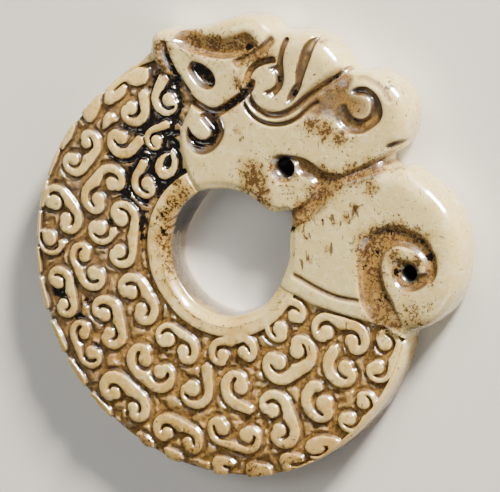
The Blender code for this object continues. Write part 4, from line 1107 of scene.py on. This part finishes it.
    # colours laid over each other: each stack has a name, its lowest layer, and the shares of those above it
    colours = {name: linear(code) for name, code in stoneLook["colours"].items()}
    stacks = (
        ("stone", "warm", ((creamShare, "cream"), (skinShare, "skin"), (patchShare, "warm"),
                           (mottleShare, "skinCloud"), (honeyShare, "honey"))),
        ("groundWithSmokeAndSheen", "groundDeep", ((paleShare, "ground"), (smokeAndSheenShare, "smokeAndSheen"))),
        ("streakedWall", "wallStreak", ((streakShare, "wall"), (wallWarmShare, "warm"))),
        ("surface", "stone", ((groundShare, "groundWithSmokeAndSheen"), (footShare, "footDirtAndShade"), (hazeShare, "haze"),
                              (speckShare, "speck"), (scratchShare, "speck"), (wallShare, "streakedWall"),
                              (sootShare, "soot"), (holeShare, "soot"))),
    )
    for name, lowest, layers in stacks:
        colour = colours[lowest]
        for share, layer in layers:
            colour = addNode(tree, "Mix", share, colour, colours[layer], data_type="RGBA")
        colours[name] = colour

    # the cuts are duller than the polished tops, and soot is shiny
    rough = addNode(tree, "Math", deep, 0.14, stoneLook["roughness"], **timesPlus)
    rough = addNode(tree, "Math", fine, 0.08, rough, **timesPlus)
    rough = addNode(tree, "Math", sootShare, -0.18, rough, **timesPlus)
    polish = addNode(tree, "MapRange", sunk, 0.5, 1.0, 1.0, 0.5, **ease)
    for share in (skin, sootShare):
        polish = addNode(tree, "Math", polish, share, **most)
    pits = addNode(tree, "Mix", 0.35, grain, fine)
    strength = addNode(tree, "Math", deep, wall, **most)
    strength = addNode(tree, "Math", strength, 0.40, 0.12, **timesPlus)
    bump = addNode(tree, "Bump", strength, stoneLook["bumpDepth"], None, pits)
    for name, node in (("Base Color", colours["surface"]), ("Roughness", rough), ("Coat Weight", polish),
                       ("Normal", bump)):
        tree.links.new(next(output for output in node.outputs if output.enabled), shader.inputs[name])
    return material


paintStone(final)
final.materials.clear()
final.materials.append(paintedStone())
print("stone painted")

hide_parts("dragon_pendant")
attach(jade, "root")

floorLook = {
    "halfWidth": 3.0,           # metres
    "colour": "#E4E3E1",
    "roughness": 0.95,
    "specular": 0.05,
}


def layFloor():
    # flat square under the pendant, in matt pale paper that gives a soft shadow and no highlight
    half = floorLook["halfWidth"]
    corners = [(-half, -half, 0), (half, -half, 0), (half, half, 0), (-half, half, 0)]
    mesh = bpy.data.meshes.new("floor")
    mesh.from_pydata(corners, [], [(0, 1, 2, 3)])
    paper = bpy.data.materials.new("palePaper")
    paper.use_nodes = True
    sockets = paper.node_tree.nodes["Principled BSDF"].inputs
    sockets["Base Color"].default_value = linear(floorLook["colour"])
    sockets["Roughness"].default_value = floorLook["roughness"]
    sockets["Specular IOR Level"].default_value = floorLook["specular"]
    mesh.materials.append(paper)
    return addObject("floor", mesh)


floor = layFloor()
print("floor laid")

view = {
    "tilt": 31.0,               # degrees between the line of sight and the face's normal
    "bearing": 22.0,            # degrees from +X to the side the camera leans to
    "distance": 1600.0,
    "scale": 0.157,             # millimetres of the pendant for one pixel
    "imageSize": (500, 492),
    "openingPixel": (233.8, 248.0),
    "sensorWidth": 36.0,
    "clip": (0.01, 20.0),       # metres
}


def viewAxes():
    # The line of sight leans from the face's normal towards one bearing. The camera is rolled so that the
    # bearing and its normal in the plane keep their directions in the picture.
    tilt, bearing = np.radians(view["tilt"]), np.radians(view["bearing"])
    leaning = np.array([np.cos(tilt) * np.cos(bearing), np.cos(tilt) * np.sin(bearing), -np.sin(tilt)])
    across = np.array([-np.sin(bearing), np.cos(bearing), 0.0])
    sight = np.array([np.sin(tilt) * np.cos(bearing), np.sin(tilt) * np.sin(bearing), np.cos(tilt)])
    right = np.cos(bearing) * leaning - np.sin(bearing) * across
    up = np.sin(bearing) * leaning + np.cos(bearing) * across
    return sight, right, up


def placeCamera():
    # the opening's middle lies on its pixel of the picture, seen from far off with a long lens
    sight, right, up = viewAxes()
    width, height = view["imageSize"]
    offRight = (width / 2 - view["openingPixel"][0]) * view["scale"]
    offUp = (view["openingPixel"][1] - height / 2) * view["scale"]
    place = openingMiddle + sight * view["distance"] + right * offRight + up * offUp
    data = bpy.data.cameras.new("camera")
    data.sensor_width = view["sensorWidth"]
    data.lens = view["sensorWidth"] * view["distance"] / (view["scale"] * width)
    data.clip_start, data.clip_end = view["clip"]
    matrix = np.identity(4)
    matrix[:3] = np.stack([right, up, sight, place / perMetre], 1)
    camera = addObject("camera", data)
    camera.matrix_world = Matrix(matrix.tolist())
    bpy.context.scene.camera = camera


placeCamera()
print("camera placed")

# Lamps: place from the stone in metres (right, up, towards the eye), size, power, colour
lamps = {
    "key": ((0.30, 0.62, 0.72), (0.18, 0.18), 36.0, "#FFF6E2"),
    "fill": ((-0.9, 0.3, 0.8), (0.7, 0.7), 5.0, "#FFFDF6"),
    "low": ((0.2, -0.9, 0.5), (0.5, 0.5), 3.0, "#FFFCF4"),
    "glint": ((0.30, 0.62, 0.72), (0.42, 0.42), 225.0, "#FFFFFF"),
}
onlyInPolish = ("glint",)       # lamps that show as highlights and light nothing
backgroundLook = {"colour": "#E9E9E4", "strength": 0.13}


def areaLight(name, place, size, power, colour):
    # square lamp that faces the middle of the opening
    data = bpy.data.lights.new(name, "AREA")
    data.shape = "RECTANGLE"
    data.size, data.size_y = size
    data.energy = power
    data.color = linear(colour)[:3]
    light = addObject(name, data)
    sight, right, up = viewAxes()
    target = openingMiddle / perMetre
    light.location = target + right * place[0] + up * place[1] + sight * place[2]
    light.rotation_euler = (Vector(target) - light.location).to_track_quat("-Z", "Y").to_euler()
    light.visible_diffuse = name not in onlyInPolish


for lampName, row in lamps.items():
    areaLight(lampName, *row)
world = bpy.data.worlds.new("studio")
world.use_nodes = True
background = world.node_tree.nodes["Background"].inputs
background["Color"].default_value = linear(backgroundLook["colour"])
background["Strength"].default_value = backgroundLook["strength"]
bpy.context.scene.world = world
print("lamps lit")
